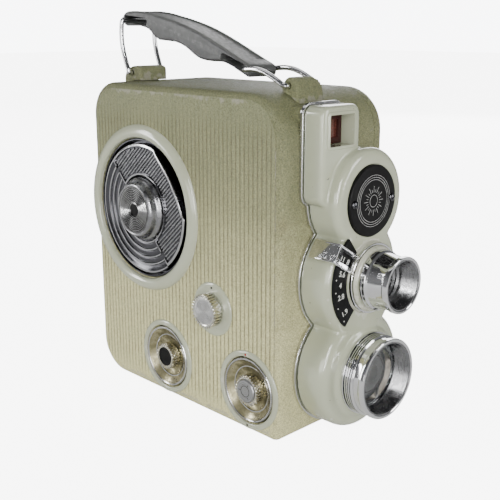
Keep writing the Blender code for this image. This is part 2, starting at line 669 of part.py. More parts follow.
def bail_points(bulge):
    """Half of a bail from its pivot pin to the middle of its cross bar, then mirrored."""
    corner = 1.8
    half = [(BRACKET_HALF - 4.5, 0, 0), (BAIL_HALF - 0.9, 0, 0), (BAIL_HALF, 0, 0.9)]
    steps = 7
    for step in range(1, steps + 1):
        share = step / steps
        height = 0.9 + (BAIL_LENGTH - corner - 0.9) * share
        half.append((BAIL_HALF, bulge * math.sin(math.pi * (height / BAIL_LENGTH) ** 1.2), height))
    for x, z in arc((BAIL_HALF - corner, BAIL_LENGTH - corner), corner, 30, 90, 2):
        half.append((x, bulge * math.sin(math.pi * (z / BAIL_LENGTH) ** 1.2), z))
    return half + [(-x, y, z) for x, y, z in half[::-1]]


def build_bails():
    """Two wire bails that join the grip to the brackets."""
    for name, pivot, lean, bulge in (("rear_bail", REAR_PIVOT, REAR_LEAN, BAIL_BULGE),
                                     ("front_bail", FRONT_PIVOT, FRONT_LEAN, -BAIL_BULGE)):
        wire(name, bail_points(bulge), WIRE, CHROME, (X_HANDLE, *pivot), (-math.radians(lean), 0, 0))


def bail_end(pivot, lean):
    """Where a bail's cross bar is, as (Y, Z)."""
    angle = math.radians(lean)
    return (pivot[0] + BAIL_LENGTH * math.sin(angle), pivot[1] + BAIL_LENGTH * math.cos(angle))


def slot_outline(start, end, half_height):
    """A slot between two (Y, Z) points, as (Z, Y) for the side view."""
    heading = math.degrees(math.atan2(end[0] - start[0], end[1] - start[1]))
    points = arc((start[1], start[0]), half_height, heading + 90, heading + 270, 6)
    return points + arc((end[1], end[0]), half_height, heading - 90, heading + 90, 6)


def build_grip():
    """The arched grip with a slot for a bail at each end."""
    top = [(49.0, 147.6), (48.2, 149.3), (46.0, 150.3), (40.0, 150.4), (33.0, 149.7), (27.0, 148.6),
           (15.0, 146.1), (6.0, 143.6), (-2.3, 140.6), (-11.4, 136.9), (-19.4, 133.5), (-24.2, 131.6),
           (-25.4, 130.6)]
    under = [(-25.6, 128.6), (-25.0, 127.1), (-23.4, 127.2), (-18.4, 129.3), (-13.6, 131.2),
             (-9.5, 132.0), (-5.3, 132.0), (1.5, 132.7), (5.8, 134.5), (10.2, 136.9), (16.5, 138.7),
             (25.9, 139.3), (28.4, 140.3), (31.2, 142.5), (34.3, 143.9), (38.1, 144.6), (46.6, 144.6),
             (48.4, 145.6)]
    grip = slab("handle_grip", [(z, y) for y, z in top + under], -GRIP_HALF, GRIP_HALF, HANDLE,
                (X_HANDLE, 0, 0), NEAR_SIDE, round_high=1.2, round_low=1.2)
    rear = bail_end(REAR_PIVOT, REAR_LEAN)
    front = bail_end(FRONT_PIVOT, FRONT_LEAN)
    for name, start, end in (("rear_slot", rear, (34.2, 146.2)), ("front_slot", front, (-11.4, 133.8))):
        cut(grip, slab(name, slot_outline(start, end, WIRE + 0.5), -20, 20, None, (X_HANDLE, 0, 0),
                       NEAR_SIDE, group=CUTTERS))


# ---------------------------------------------------------------- works

def build_film_path():
    """Mechanism plate, gate, pressure plate, claw, rollers and the two spools."""
    plate = slab("mechanism_plate", rounded_rectangle(94.0, 87.0, 6.0, 3), 0, PLATE_THICK, STEEL,
                 (X_PLATE, 6.5, 57.0), FAR_SIDE)
    far = X_PLATE + PLATE_THICK
    for name, height in (("supply", Z_SUPPLY), ("take_up", Z_TAKE_UP)):
        cut(plate, disc(name + "_bearing", 3.5, -9, 9, None, (X_PLATE, Y_SPOOL, height), FAR_SIDE, 20,
                        0, CUTTERS))
        turned(name + "_spindle", [(0, 24.4), (2.4, 24.4), (3.2, 23.0), (3.2, -1.2), (0, -1.2)],
               STEEL, (X_PLATE, Y_SPOOL, height), FAR_SIDE, 20)
        turned(name + "_spool", [(4.0, SPOOL_HALF), (SPOOL_RADIUS, SPOOL_HALF),
                                 (SPOOL_RADIUS, SPOOL_HALF - 0.8), (8.0, SPOOL_HALF - 0.8),
                                 (8.0, 0.8 - SPOOL_HALF), (SPOOL_RADIUS, 0.8 - SPOOL_HALF),
                                 (SPOOL_RADIUS, -SPOOL_HALF), (4.0, -SPOOL_HALF)],
               BLACK, (X_SPOOL, Y_SPOOL, height), FAR_SIDE, 40)
    for name, height in (("upper_roller", 84.5), ("lower_roller", 33.0)):
        disc(name, 3.0, GAP, 21.0, STEEL, (far, -26.0, height), FAR_SIDE, 20)
    gate = block("film_gate", (20.5, 1.2, 42.0), (far + GAP + 10.25, Y_GATE, Z_LENS), STEEL)
    cut(gate, block("aperture", (4.9, 9, 3.6), (X_LENS, Y_GATE, Z_LENS), group=CUTTERS),
        block("claw_slot", (1.6, 9, 7.0), (CLAW_X, Y_GATE, Z_LENS - 7.6), group=CUTTERS))
    pressure = block("pressure_plate", (16.0, 1.2, 28.0), (X_SPOOL, Y_GATE + 2.4, Z_LENS), STEEL,
                     bevel=0.2)
    cut(pressure, block("plate_slot", (1.8, 9, 7.4), (CLAW_X, Y_GATE, Z_LENS - 7.6), group=CUTTERS))
    bow = arc((0, 0), 30.0, -16, 16, 8) + arc((0, 0), 29.6, 16, -16, 8)
    slab("pressure_spring", [(x, y) for x, y in bow], -3, 3, STEEL,
         (X_SPOOL, Y_GATE + 35.0, Z_LENS), (math.radians(90), math.radians(180), math.radians(90)))
    claw = block("film_claw", (3.2, 1.4, 16.0), (CLAW_X, Y_GATE - 4.2, Z_LENS - 9.0), STEEL)
    join(claw, block("claw_tip", (0.8, 5.4, 1.0), (CLAW_X, Y_GATE - 1.4, Z_LENS - 7.6), group=CUTTERS))


def build_works():
    """Shutter, governor and meter movement."""
    shutter_spot = (-8.0, Y_SHUTTER, 50.0)
    sector = arc((0, 0), 16.8, 60, 250, 20) + arc((0, 0), 5.0, 250, 420, 8)
    shutter = slab("shutter_disc", sector, -0.25, 0.25, BLACK, shutter_spot, FRONT_SIDE)
    join(shutter, disc("shutter_shaft", 1.0, -2.2, 4.0, None, shutter_spot, FRONT_SIDE, 16, 0, CUTTERS))
    spot = on_near_side(GOVERNOR)
    governor = disc("governor", 3.9, -16.6, -8.6, BRASS, spot, NEAR_SIDE, 24, 0.5)
    join(governor, slab("governor_pinion", toothed(3.2, 0.9, 10), -19.6, -16.2, None, spot, NEAR_SIDE,
                        group=CUTTERS))
    spot = on_near_side(METER)
    disc("meter_movement", 6.5, -12.6, -3.4, BLACK, spot, NEAR_SIDE, 32, 0.6)
    needle = block("meter_needle", (0.4, 0.7, 11.0), (X_NEAR + 13.4, METER[0], METER[1] + 5.0), STEEL)
    join(needle, disc("needle_boss", 1.2, -13.8, -12.9, None, spot, NEAR_SIDE, 16, 0, CUTTERS))


MODEL, CUTTERS = clear_scene()
PAINT = finish("crinkle_paint", (0.36, 0.35, 0.24), 0.6)
ENAMEL = finish("cream_enamel", (0.55, 0.55, 0.42), 0.25)
CHROME = finish("bright_chrome", (0.75, 0.75, 0.76), 0.15, 1.0)
DARK_CHROME = finish("dark_chrome", (0.25, 0.25, 0.28), 0.3, 1.0)
STEEL = finish("plain_steel", (0.5, 0.5, 0.5), 0.35, 1.0)
BRASS = finish("brass", (0.55, 0.42, 0.2), 0.4, 1.0)
BLACK = finish("black_lacquer", (0.02, 0.02, 0.02), 0.4)
GLASS = finish("lens_glass", (0.6, 0.65, 0.65), 0.05)
SELENIUM = finish("selenium", (0.25, 0.2, 0.15), 0.5)
HANDLE = finish("grey_plastic", (0.1, 0.1, 0.1), 0.45)

build_housing()
build_bottom()
build_door()
build_tower()
build_scale_and_lever()
build_finder()
build_cell()
build_lens()
build_winding()
build_side_controls()
build_brackets()
build_bails()
build_grip()
build_film_path()
build_works()
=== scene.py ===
"""Looks of a spring-wound double-8 cine camera, built around its packed mechanical model.

Every length in this file is in millimetres until a mesh is made, and MM turns it into metres.
The lens looks along -Y, +Z is up and the winding side is the -X side. Each sub-assembly is a
class that models its pieces and dresses them.
"""

import json
import logging
import math
from dataclasses import dataclass, field
from enum import Enum
from typing import Callable, Iterable, Optional, Sequence

import bmesh
import bpy
from mathutils import Euler, Matrix, Vector

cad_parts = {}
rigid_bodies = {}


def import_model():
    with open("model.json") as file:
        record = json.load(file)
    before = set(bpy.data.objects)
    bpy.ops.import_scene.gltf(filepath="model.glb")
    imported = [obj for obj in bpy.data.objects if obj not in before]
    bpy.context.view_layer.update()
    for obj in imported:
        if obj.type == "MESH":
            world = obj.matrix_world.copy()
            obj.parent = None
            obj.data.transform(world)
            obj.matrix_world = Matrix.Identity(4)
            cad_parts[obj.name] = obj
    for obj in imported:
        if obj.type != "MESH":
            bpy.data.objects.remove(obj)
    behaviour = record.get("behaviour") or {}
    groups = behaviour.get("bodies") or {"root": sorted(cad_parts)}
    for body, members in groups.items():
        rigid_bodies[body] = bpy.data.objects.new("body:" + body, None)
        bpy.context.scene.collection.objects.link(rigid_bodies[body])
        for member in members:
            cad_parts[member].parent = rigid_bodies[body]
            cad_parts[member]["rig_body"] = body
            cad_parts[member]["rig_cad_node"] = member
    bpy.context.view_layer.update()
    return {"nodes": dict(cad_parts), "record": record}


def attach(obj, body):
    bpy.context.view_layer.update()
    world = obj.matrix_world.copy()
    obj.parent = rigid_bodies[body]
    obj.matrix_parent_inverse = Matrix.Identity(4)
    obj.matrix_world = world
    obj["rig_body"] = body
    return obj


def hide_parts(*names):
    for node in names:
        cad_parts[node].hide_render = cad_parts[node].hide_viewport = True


LOG = logging.getLogger("cine_camera")
MM = 0.001
GAP = 0.3

Point = tuple[float, float]
Colour = tuple[float, float, float]
Item = bpy.types.Object
Node = bpy.types.Node
Socket = bpy.types.NodeSocket
NodeTree = bpy.types.NodeTree

# Shared places and sizes of the frame
X_NEAR = -27.5
X_SEAM = 21.4
X_FAR = 28.4
DEPTH = 106.7
HEIGHT = 123.0
Y_FRONT = -DEPTH / 2
X_LENS = 3.0
Z_NAME = 86.6
Z_LENS = 59.3
Z_CELL = 23.6
X_FINDER = -8.4
Z_FINDER = 111.3
X_HANDLE = -7.6
WINDING = (21.3, 74.9)
FRAME_SPEED = (-19.5, 43.0)
FILM_SPEED = (8.3, 16.4)
RELEASE = (-38.4, 16.5)
LATCH = (26.0, 61.5)
REAR_PIVOT = (43.5, 126.2)
FRONT_PIVOT = (-44.1, 125.1)


class Side(Enum):
    """Which side of the camera a piece is built on; its local Z points out of that side."""

    NEAR = (0.0, -90.0, 0.0)
    FAR = (0.0, 90.0, 0.0)
    FRONT = (90.0, 0.0, 0.0)
    BACK = (-90.0, 0.0, 0.0)
    TOP = (0.0, 0.0, 0.0)

    def frame(self) -> Matrix:
        """The turn from a piece's own axes to the camera's."""
        return Euler([math.radians(value) for value in self.value]).to_matrix().to_4x4()


@dataclass(frozen=True)
class Spot:
    """A place to build at: a point, a side and a turn in degrees about the way out."""

    x: float
    y: float
    z: float
    side: Side = Side.TOP
    turn: float = 0.0

    def matrix(self) -> Matrix:
        """The spot as a matrix in metres."""
        place = Matrix.Translation(Vector((self.x, self.y, self.z)) * MM)
        return place @ self.side.frame() @ Matrix.Rotation(math.radians(self.turn), 4, "Z")


def near(axis: Point, turn: float = 0.0) -> Spot:
    """The spot of a winding-side axis given as (Y, Z)."""
    return Spot(X_NEAR, axis[0], axis[1], Side.NEAR, turn)


def front(x: float, z: float, turn: float = 0.0) -> Spot:
    """The spot of a front axis."""
    return Spot(x, Y_FRONT, z, Side.FRONT, turn)


HOME = Spot(0.0, 0.0, 0.0)


# ---------------------------------------------------------------- modelling tools

def clear_selection() -> None:
    """Leave edit mode and deselect everything."""
    if bpy.context.object and bpy.context.object.mode != "OBJECT":
        bpy.ops.object.mode_set(mode="OBJECT")
    bpy.ops.object.select_all(action="DESELECT")


def take(item: Item) -> Item:
    """Make one object the only selected and active one."""
    clear_selection()
    item.select_set(True)
    bpy.context.view_layer.objects.active = item
    return item


def edit(item: Item) -> Item:
    """Open an object in edit mode with all of it selected."""
    take(item)
    bpy.ops.object.mode_set(mode="EDIT")
    bpy.ops.mesh.select_mode(type="VERT")
    bpy.ops.mesh.select_all(action="SELECT")
    return item


def close(item: Item) -> Item:
    """Leave edit mode."""
    bpy.ops.object.mode_set(mode="OBJECT")
    return item


def pick(item: Item, kind: str, test: Callable) -> int:
    """Select mesh elements of an object in edit mode by a test of each element.

    Args:
        item: The object in edit mode.
        kind: VERT, EDGE or FACE.
        test: Says whether an element is selected.

    Returns:
        How many elements were selected.
    """
    bpy.ops.mesh.select_mode(type=kind)
    bpy.ops.mesh.select_all(action="DESELECT")
    cage = bmesh.from_edit_mesh(item.data)
    found = 0
    for element in {"VERT": cage.verts, "EDGE": cage.edges, "FACE": cage.faces}[kind]:
        if test(element):
            element.select_set(True)
            found += 1
    cage.select_flush_mode()
    bmesh.update_edit_mesh(item.data)
    return found


def tidy_mesh(item: Item, threshold: float = 1e-6) -> Item:
    """Merge doubles and turn every face outwards."""
    edit(item)
    bpy.ops.mesh.remove_doubles(threshold=threshold)
    bpy.ops.mesh.normals_make_consistent(inside=False)
    return close(item)


def settle(item: Item, name: str, spot: Spot = HOME) -> Item:
    """Name a piece and write its place into its mesh.

    Args:
        item: The object worked on.
        name: Name of the new object or group.
        spot: Where the piece's axis stands.

    Returns:
        The finished object.
    """
    take(item)
    item.name = name
    item.data.name = name
    item.matrix_world = spot.matrix() @ item.matrix_world
    bpy.ops.object.transform_apply(location=True, rotation=True, scale=True)
    return item


def round_edges(item: Item, test: Callable, width: float, segments: int = 4) -> Item:
    """Bevel the edges that pass a test, in edit mode.

    Args:
        item: The piece.
        test: Says whether an edge is rounded.
        width: Radius in millimetres.
        segments: Number of flats in the rounding.

    Returns:
        The piece.
    """
    edit(item)
    if pick(item, "EDGE", test):
        bpy.ops.mesh.bevel(offset=width * MM, segments=segments, affect="EDGES", profile=0.5)
    return close(item)


def at_level(level: float) -> Callable:
    """A test for edges that lie wholly at one local height in millimetres."""
    return lambda edge: all(abs(vertex.co.z - level * MM) < 1e-6 for vertex in edge.verts)


def turned(name: str, profile: Sequence[Point], spot: Spot, steps: int = 96) -> Item:
    """Turn a profile about the spot's axis, as on a lathe.

    Args:
        name: Name of the piece.
        profile: (radius, height) points. One that starts and ends on the axis is solid;
            another is a ring.
        spot: Where the axis stands.
        steps: Steps round the axis.

    Returns:
        The turned piece.
    """
    clear_selection()
    bpy.ops.mesh.primitive_circle_add(vertices=3, radius=MM)
    item = edit(bpy.context.object)
    bpy.ops.mesh.merge(type="CENTER")
    loop = list(profile) if profile[0][0] == 0 else [*profile, profile[0]]
    bpy.ops.transform.translate(value=(loop[0][0] * MM, 0, loop[0][1] * MM))
    for (radius, height), (next_radius, next_height) in zip(loop, loop[1:]):
        bpy.ops.mesh.extrude_region_move(TRANSFORM_OT_translate={
            "value": ((next_radius - radius) * MM, 0, (next_height - height) * MM)})
    bpy.ops.mesh.select_all(action="SELECT")
    bpy.ops.mesh.remove_doubles(threshold=1e-7)
    bpy.ops.mesh.spin(steps=steps, angle=2 * math.pi, center=(0, 0, 0), axis=(0, 0, 1))
    close(item)
    return settle(tidy_mesh(item), name, spot)


def cylinder(name: str, radius: float, low: float, high: float, spot: Spot, steps: int = 64,
        edge: float = 0.0) -> Item:
    """A round bar along the way out, with its outer edge rounded on request.

    Args:
        name: Name of the new object or group.
        radius: Distance from the axis.
        low: Lower end along the axis.
        high: Upper end along the axis.
        spot: Where the piece's axis stands.
        steps: Steps round it.
        edge: Width of the rounding.

    Returns:
        The finished object.
    """
    clear_selection()
    bpy.ops.mesh.primitive_cylinder_add(vertices=steps, radius=radius * MM, depth=(high - low) * MM,
        location=(0, 0, (high + low) / 2 * MM))
    item = bpy.context.object
    bpy.ops.object.transform_apply(location=True, rotation=True, scale=True)
    if edge:
        round_edges(item, at_level(high), edge, 6)
    return settle(item, name, spot)


def block(name: str, size: Sequence[float], centre: Sequence[float], spot: Spot = HOME,
        edge: float = 0.0, segments: int = 3) -> Item:
    """A squared block, its edges rounded on request.

    Args:
        name: Name of the new object or group.
        size: Lengths along the three axes.
        centre: Middle point.
        spot: Where the piece's axis stands.
        edge: Width of the rounding.
        segments: Steps in the rounding.

    Returns:
        The finished object.
    """
    clear_selection()
    bpy.ops.mesh.primitive_cube_add(size=1.0, location=[value * MM for value in centre])
    item = bpy.context.object
    item.scale = [value * MM for value in size]
    bpy.ops.object.transform_apply(location=True, rotation=True, scale=True)
    if edge:
        round_edges(item, lambda _: True, edge, segments)
    return settle(item, name, spot)


def outlined(name: str, outline: Sequence[Point], low: float, high: float, spot: Spot,
        edge: float = 0.0, segments: int = 3) -> Item:
    """A flat outline given thickness along the way out, with its outer rim rounded on request.

    Args:
        name: Name of the new object or group.
        outline: Corner points.
        low: Lower end along the axis.
        high: Upper end along the axis.
        spot: Where the piece's axis stands.
        edge: Width of the rounding.
        segments: Steps in the rounding.

    Returns:
        The finished object.
    """
    clear_selection()
    curve = bpy.data.curves.new(name, "CURVE")
    curve.dimensions = "2D"
    curve.fill_mode = "BOTH"
    curve.extrude = (high - low) / 2 * MM
    spline = curve.splines.new("POLY")
    spline.points.add(len(outline) - 1)
    for vertex, (x, y) in zip(spline.points, outline):
        vertex.co = (x * MM, y * MM, 0, 1)
    spline.use_cyclic_u = True
    guide = bpy.data.objects.new(name, curve)
    bpy.context.scene.collection.objects.link(guide)
    take(guide)
    bpy.ops.object.convert(target="MESH")
    item = bpy.context.object
    item.location.z = (high + low) / 2 * MM
    bpy.ops.object.transform_apply(location=True, rotation=True, scale=True)
    edit(item)
    bpy.ops.mesh.remove_doubles(threshold=1e-6)
    bpy.ops.mesh.dissolve_limited(angle_limit=0.002)
    bpy.ops.mesh.normals_make_consistent(inside=False)
    close(item)
    if edge:
        round_edges(item, at_level(high), edge, segments)
    return settle(item, name, spot)


def wire(name: str, points: Sequence[Sequence[float]], radius: float, matrix: Matrix,
        fine: int = 6) -> Item:
    """A round bar along a smooth line through points.

    Args:
        name: Name of the new object or group.
        points: Points of the middle line.
        radius: Distance from the axis.
        matrix: Placement in the frame.
        fine: Smoothness of the curve.

    Returns:
        The finished object.
    """
    clear_selection()
    curve = bpy.data.curves.new(name, "CURVE")
    curve.dimensions = "3D"
    curve.bevel_depth = radius * MM
    curve.bevel_resolution = 5
    curve.use_fill_caps = True
    curve.resolution_u = fine
    spline = curve.splines.new("NURBS")
    spline.order_u = 3
    spline.use_endpoint_u = True
    spline.points.add(len(points) - 1)
    for vertex, point in zip(spline.points, points):
        vertex.co = (*[value * MM for value in point], 1)
    guide = bpy.data.objects.new(name, curve)
    bpy.context.scene.collection.objects.link(guide)
    take(guide)
    bpy.ops.object.convert(target="MESH")
    item = bpy.context.object
    item.matrix_world = matrix
    bpy.ops.object.transform_apply(location=True, rotation=True, scale=True)
    return settle(tidy_mesh(item), name)


def knurled(name: str, radius: float, low: float, high: float, teeth: int, spot: Spot,
        depth: float = 0.45, edge: float = 0.25) -> Item:
    """A bar whose side carries a ring of raised teeth.

    Args:
        name: Name of the new object or group.
        radius: Distance from the axis.
        low: Lower end along the axis.
        high: Upper end along the axis.
        teeth: Number of teeth.
        spot: Where the piece's axis stands.
        depth: How deep the relief is.
        edge: Width of the rounding.

    Returns:
        The finished object.
    """
    core = radius - depth
    item = cylinder(name, core, low, high, HOME, teeth * 2)
    edit(item)
    pick(item, "FACE", lambda face: abs(face.normal.z) < 0.5
        and math.floor(math.atan2(face.calc_center_median().y,
        face.calc_center_median().x) / math.pi * teeth + 1e-06) % 2 == 0)
    bpy.ops.mesh.extrude_region_shrink_fatten(TRANSFORM_OT_shrink_fatten={"value": depth * MM,
        "use_even_offset": True})
    close(item)
    round_edges(item, at_level(high), edge, 2)
    return settle(item, name, spot)


def modify(item: Item, kind: str, **settings: object) -> Item:
    """Add one modifier and apply it.

    Args:
        item: The object worked on.
        kind: Blender's word for the element, modifier or node.
        settings: Properties to set.

    Returns:
        The finished object.
    """
    take(item)
    modifier = item.modifiers.new(kind.lower(), kind)
    for key, value in settings.items():
        setattr(modifier, key, value)
    bpy.ops.object.modifier_apply(modifier=modifier.name)
    return item


def combine(item: Item, tools: Iterable[Item], operation: str) -> Item:
    """Work other pieces into one by exact Booleans and remove them."""
    for tool in tools:
        modify(item, "BOOLEAN", operation=operation, solver="EXACT", object=tool)
        bpy.data.objects.remove(tool, do_unlink=True)
    return item


def cut(item: Item, *tools: Item) -> Item:
    """Take tools out of a piece."""
    return combine(item, tools, "DIFFERENCE")


def unite(item: Item, *tools: Item) -> Item:
    """Join tools to a piece as one body."""
    return combine(item, tools, "UNION")


def merged(name: str, pieces: Sequence[Item]) -> Item:
    """Join loose pieces into one object without Booleans.

    Args:
        name: Name of the new object or group.
        pieces: The objects to join.

    Returns:
        The finished object.
    """
    take(pieces[0])
    for piece in pieces:
        piece.select_set(True)
    if len(pieces) > 1:
        bpy.ops.object.join()
    return settle(bpy.context.object, name)


def copied(item: Item, matrix: Matrix) -> Item:
    """A copy with a mesh of its own, moved by a matrix."""
    twin = item.copy()
    twin.data = item.data.copy()
    bpy.context.scene.collection.objects.link(twin)
    twin.data.transform(matrix)
    return twin


def carried(nodes: dict[str, Item], node: str, edge: float = 0.0, segments: int = 2) -> Item:
    """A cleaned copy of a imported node, with its sharp edges broken on request.

    Args:
        nodes: The frame's nodes by name.
        node: The CAD node.
        edge: Width of the rounding.
        segments: Steps in the rounding.

    Returns:
        The finished object.
    """
    twin = nodes[node].copy()
    twin.data = nodes[node].data.copy()
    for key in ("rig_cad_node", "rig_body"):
        if key in twin:
            del twin[key]
    bpy.context.scene.collection.objects.link(twin)
    twin.parent = None
    twin.hide_render = False
    edit(twin)
    bpy.ops.mesh.remove_doubles(threshold=1e-6)
    bpy.ops.mesh.dissolve_limited(angle_limit=0.01)
    close(twin)
    if edge:
        modify(twin, "BEVEL", width=edge * MM, segments=segments, limit_method="ANGLE",
            angle_limit=math.radians(38))
    return settle(twin, node + "_piece")


def lettering(name: str, text: str, size: float, lift: float, spot: Spot, shift: Point = (0.0, 0.0),
        tilt: float = 0.0) -> Item:
    """A printed number as a thin raised mesh.

    Args:
        name: Name of the piece.
        text: The number.
        size: Height of the type in millimetres.
        lift: Level of its underside above the spot.
        spot: Where the dial stands.
        shift: Place on the dial.
        tilt: Turn of the type in degrees.

    Returns:
        The number as a mesh.
    """
    clear_selection()
    bpy.ops.object.text_add()
    item = bpy.context.object
    item.data.body = text
    item.data.size = size * MM
    item.data.align_x = "CENTER"
    item.data.align_y = "CENTER"
    item.data.extrude = 0.02 * MM
    item.data.offset = 0.02 * MM
    bpy.ops.object.convert(target="MESH")
    item = bpy.context.object
    item.matrix_world = Matrix.Translation(Vector(
        (shift[0], shift[1], lift + 0.02)) * MM) @ Matrix.Rotation(math.radians(tilt), 4, "Z")
    bpy.ops.object.transform_apply(location=True, rotation=True, scale=True)
    return settle(tidy_mesh(item), name, spot)


def arc(centre: Point, radius: float, start: float, end: float, steps: int) -> list[Point]:
    """Points on an arc, angles in degrees from the first axis."""
    angles = [math.radians(start + (end - start) * step / steps) for step in range(steps + 1)]
    return [(centre[0] + radius * math.cos(angle), centre[1] + radius * math.sin(angle))
        for angle in angles]


def rounded_rectangle(width: float, height: float, radius: float, steps: int = 8,
        centre: Point = (0.0, 0.0)) -> list[Point]:
    """Outline of a rectangle with round corners.

    Args:
        width: Size across.
        height: Size upwards.
        radius: Distance from the axis.
        steps: Steps round it.
        centre: Middle point.

    Returns:
        The points in order.
    """
    across, along = width / 2 - radius, height / 2 - radius
    points: list[Point] = []
    for quarter, (sign_x, sign_y) in enumerate(((1, 1), (-1, 1), (-1, -1), (1, -1))):
        corner = (centre[0] + sign_x * across, centre[1] + sign_y * along)
        points += arc(corner, radius, 90 * quarter, 90 * quarter + 90, steps)
    return points


def thread(radius: float, start: float, end: float, pitch: float, depth: float) -> list[Point]:
    """Profile of a screw thread cut on the inside of a ring, from one height down to another.

    Args:
        radius: Distance from the axis.
        start: First end.
        end: Last end.
        pitch: Distance between turns.
        depth: How deep the relief is.

    Returns:
        The points in order.
    """
    count = max(2, int(abs(end - start) / pitch))
    step = (end - start) / count
    points: list[Point] = []
    for index in range(count):
        points += [(radius, start + step * index), (radius + depth, start + step * (index + 0.5))]
    return points + [(radius, end)]


# ---------------------------------------------------------------- shader tools

class Bench:
    """Adds and joins shader nodes in one node tree."""

    def __init__(self, tree: NodeTree) -> None:
        """Keep the tree to work in."""
        self.tree = tree

    def node(self, kind: str, **settings: object) -> Node:
        """A new shader node with its properties set."""
        made = self.tree.nodes.new("ShaderNode" + kind)
        for key, value in settings.items():
            setattr(made, key, value)
        return made

    def feed(self, node: Node, socket: object, source: object) -> None:
        """Join an output to an input, or set the input to a plain value."""
        if isinstance(source, Socket):
            self.tree.links.new(source, node.inputs[socket])
        else:
            node.inputs[socket].default_value = source

    def sums(self, operation: str, first: object, second: object = 0.0,
            clamp: bool = False) -> Socket:
        """One Math node."""
        made = self.node("Math", operation=operation, use_clamp=clamp)
        self.feed(made, 0, first)
        self.feed(made, 1, second)
        return made.outputs[0]

    def times(self, first: object, second: object) -> Socket:
        """The product of two values."""
        return self.sums("MULTIPLY", first, second)

    def plus(self, first: object, second: object, clamp: bool = False) -> Socket:
        """The sum of two values, held between 0 and 1 on request."""
        return self.sums("ADD", first, second, clamp)

    def span(self, source: object, low: float, high: float, to_low: float = 0.0,
            to_high: float = 1.0) -> Socket:
        """Map a range smoothly onto another."""
        made = self.node("MapRange", interpolation_type="SMOOTHSTEP")
        for socket, value in zip((0, 1, 2, 3, 4), (source, low, high, to_low, to_high)):
            self.feed(made, socket, value)
        return made.outputs[0]

    def noise(self, vector: object, scale: float, detail: float = 3.0,
            roughness: float = 0.5) -> Socket:
        """Noise on a vector.

        Args:
            vector: Coordinates.
            scale: Scale of the pattern.
            detail: Octaves.
            roughness: Weight of the fine octaves.

        Returns:
            The output socket.
        """
        made = self.node("TexNoise")
        self.feed(made, "Vector", vector)
        self.feed(made, "Scale", scale)
        self.feed(made, "Detail", detail)
        self.feed(made, "Roughness", roughness)
        return made.outputs["Fac"]

    def blend(self, mask: object, first: object, second: object, way: str = "MIX") -> Socket:
        """Mix two colours by a mask."""
        made = self.node("Mix", data_type="RGBA", blend_type=way)
        for socket, value in zip((0, 6, 7), (mask, first, second)):
            self.feed(made, socket, (*value, 1.0) if isinstance(value, tuple) and len(value) == 3
                else value)
        return made.outputs[2]

    def place(self, spot: Optional[Spot] = None,
            scale: Sequence[float] = (1.0, 1.0, 1.0)) -> Socket:
        """Object coordinates, turned and centred on a spot where one is given.

        Args:
            spot: Where the piece's axis stands.
            scale: Scale of the pattern.

        Returns:
            The output socket.
        """
        source = self.node("TexCoord").outputs["Object"]
        if spot is None and tuple(scale) == (1.0, 1.0, 1.0):
            return source
        mapping = self.node("Mapping")
        back = spot.matrix().inverted() if spot else Matrix.Identity(4)
        self.feed(mapping, "Vector", source)
        mapping.inputs["Location"].default_value = back.translation
        mapping.inputs["Rotation"].default_value = back.to_euler()
        mapping.inputs["Scale"].default_value = scale
        return mapping.outputs[0]

    def effect(self, group: NodeTree, where: object, **inputs: object) -> Socket:
        """The first output of a node group that reads the given coordinates."""
        return self.group(group, Vector=where, **inputs).outputs[0]

    def group(self, group: NodeTree, **inputs: object) -> Node:
        """Place a node group and feed its inputs."""
        made = self.node("Group", node_tree=group)
        for key, value in inputs.items():
            self.feed(made, key, value)
        return made


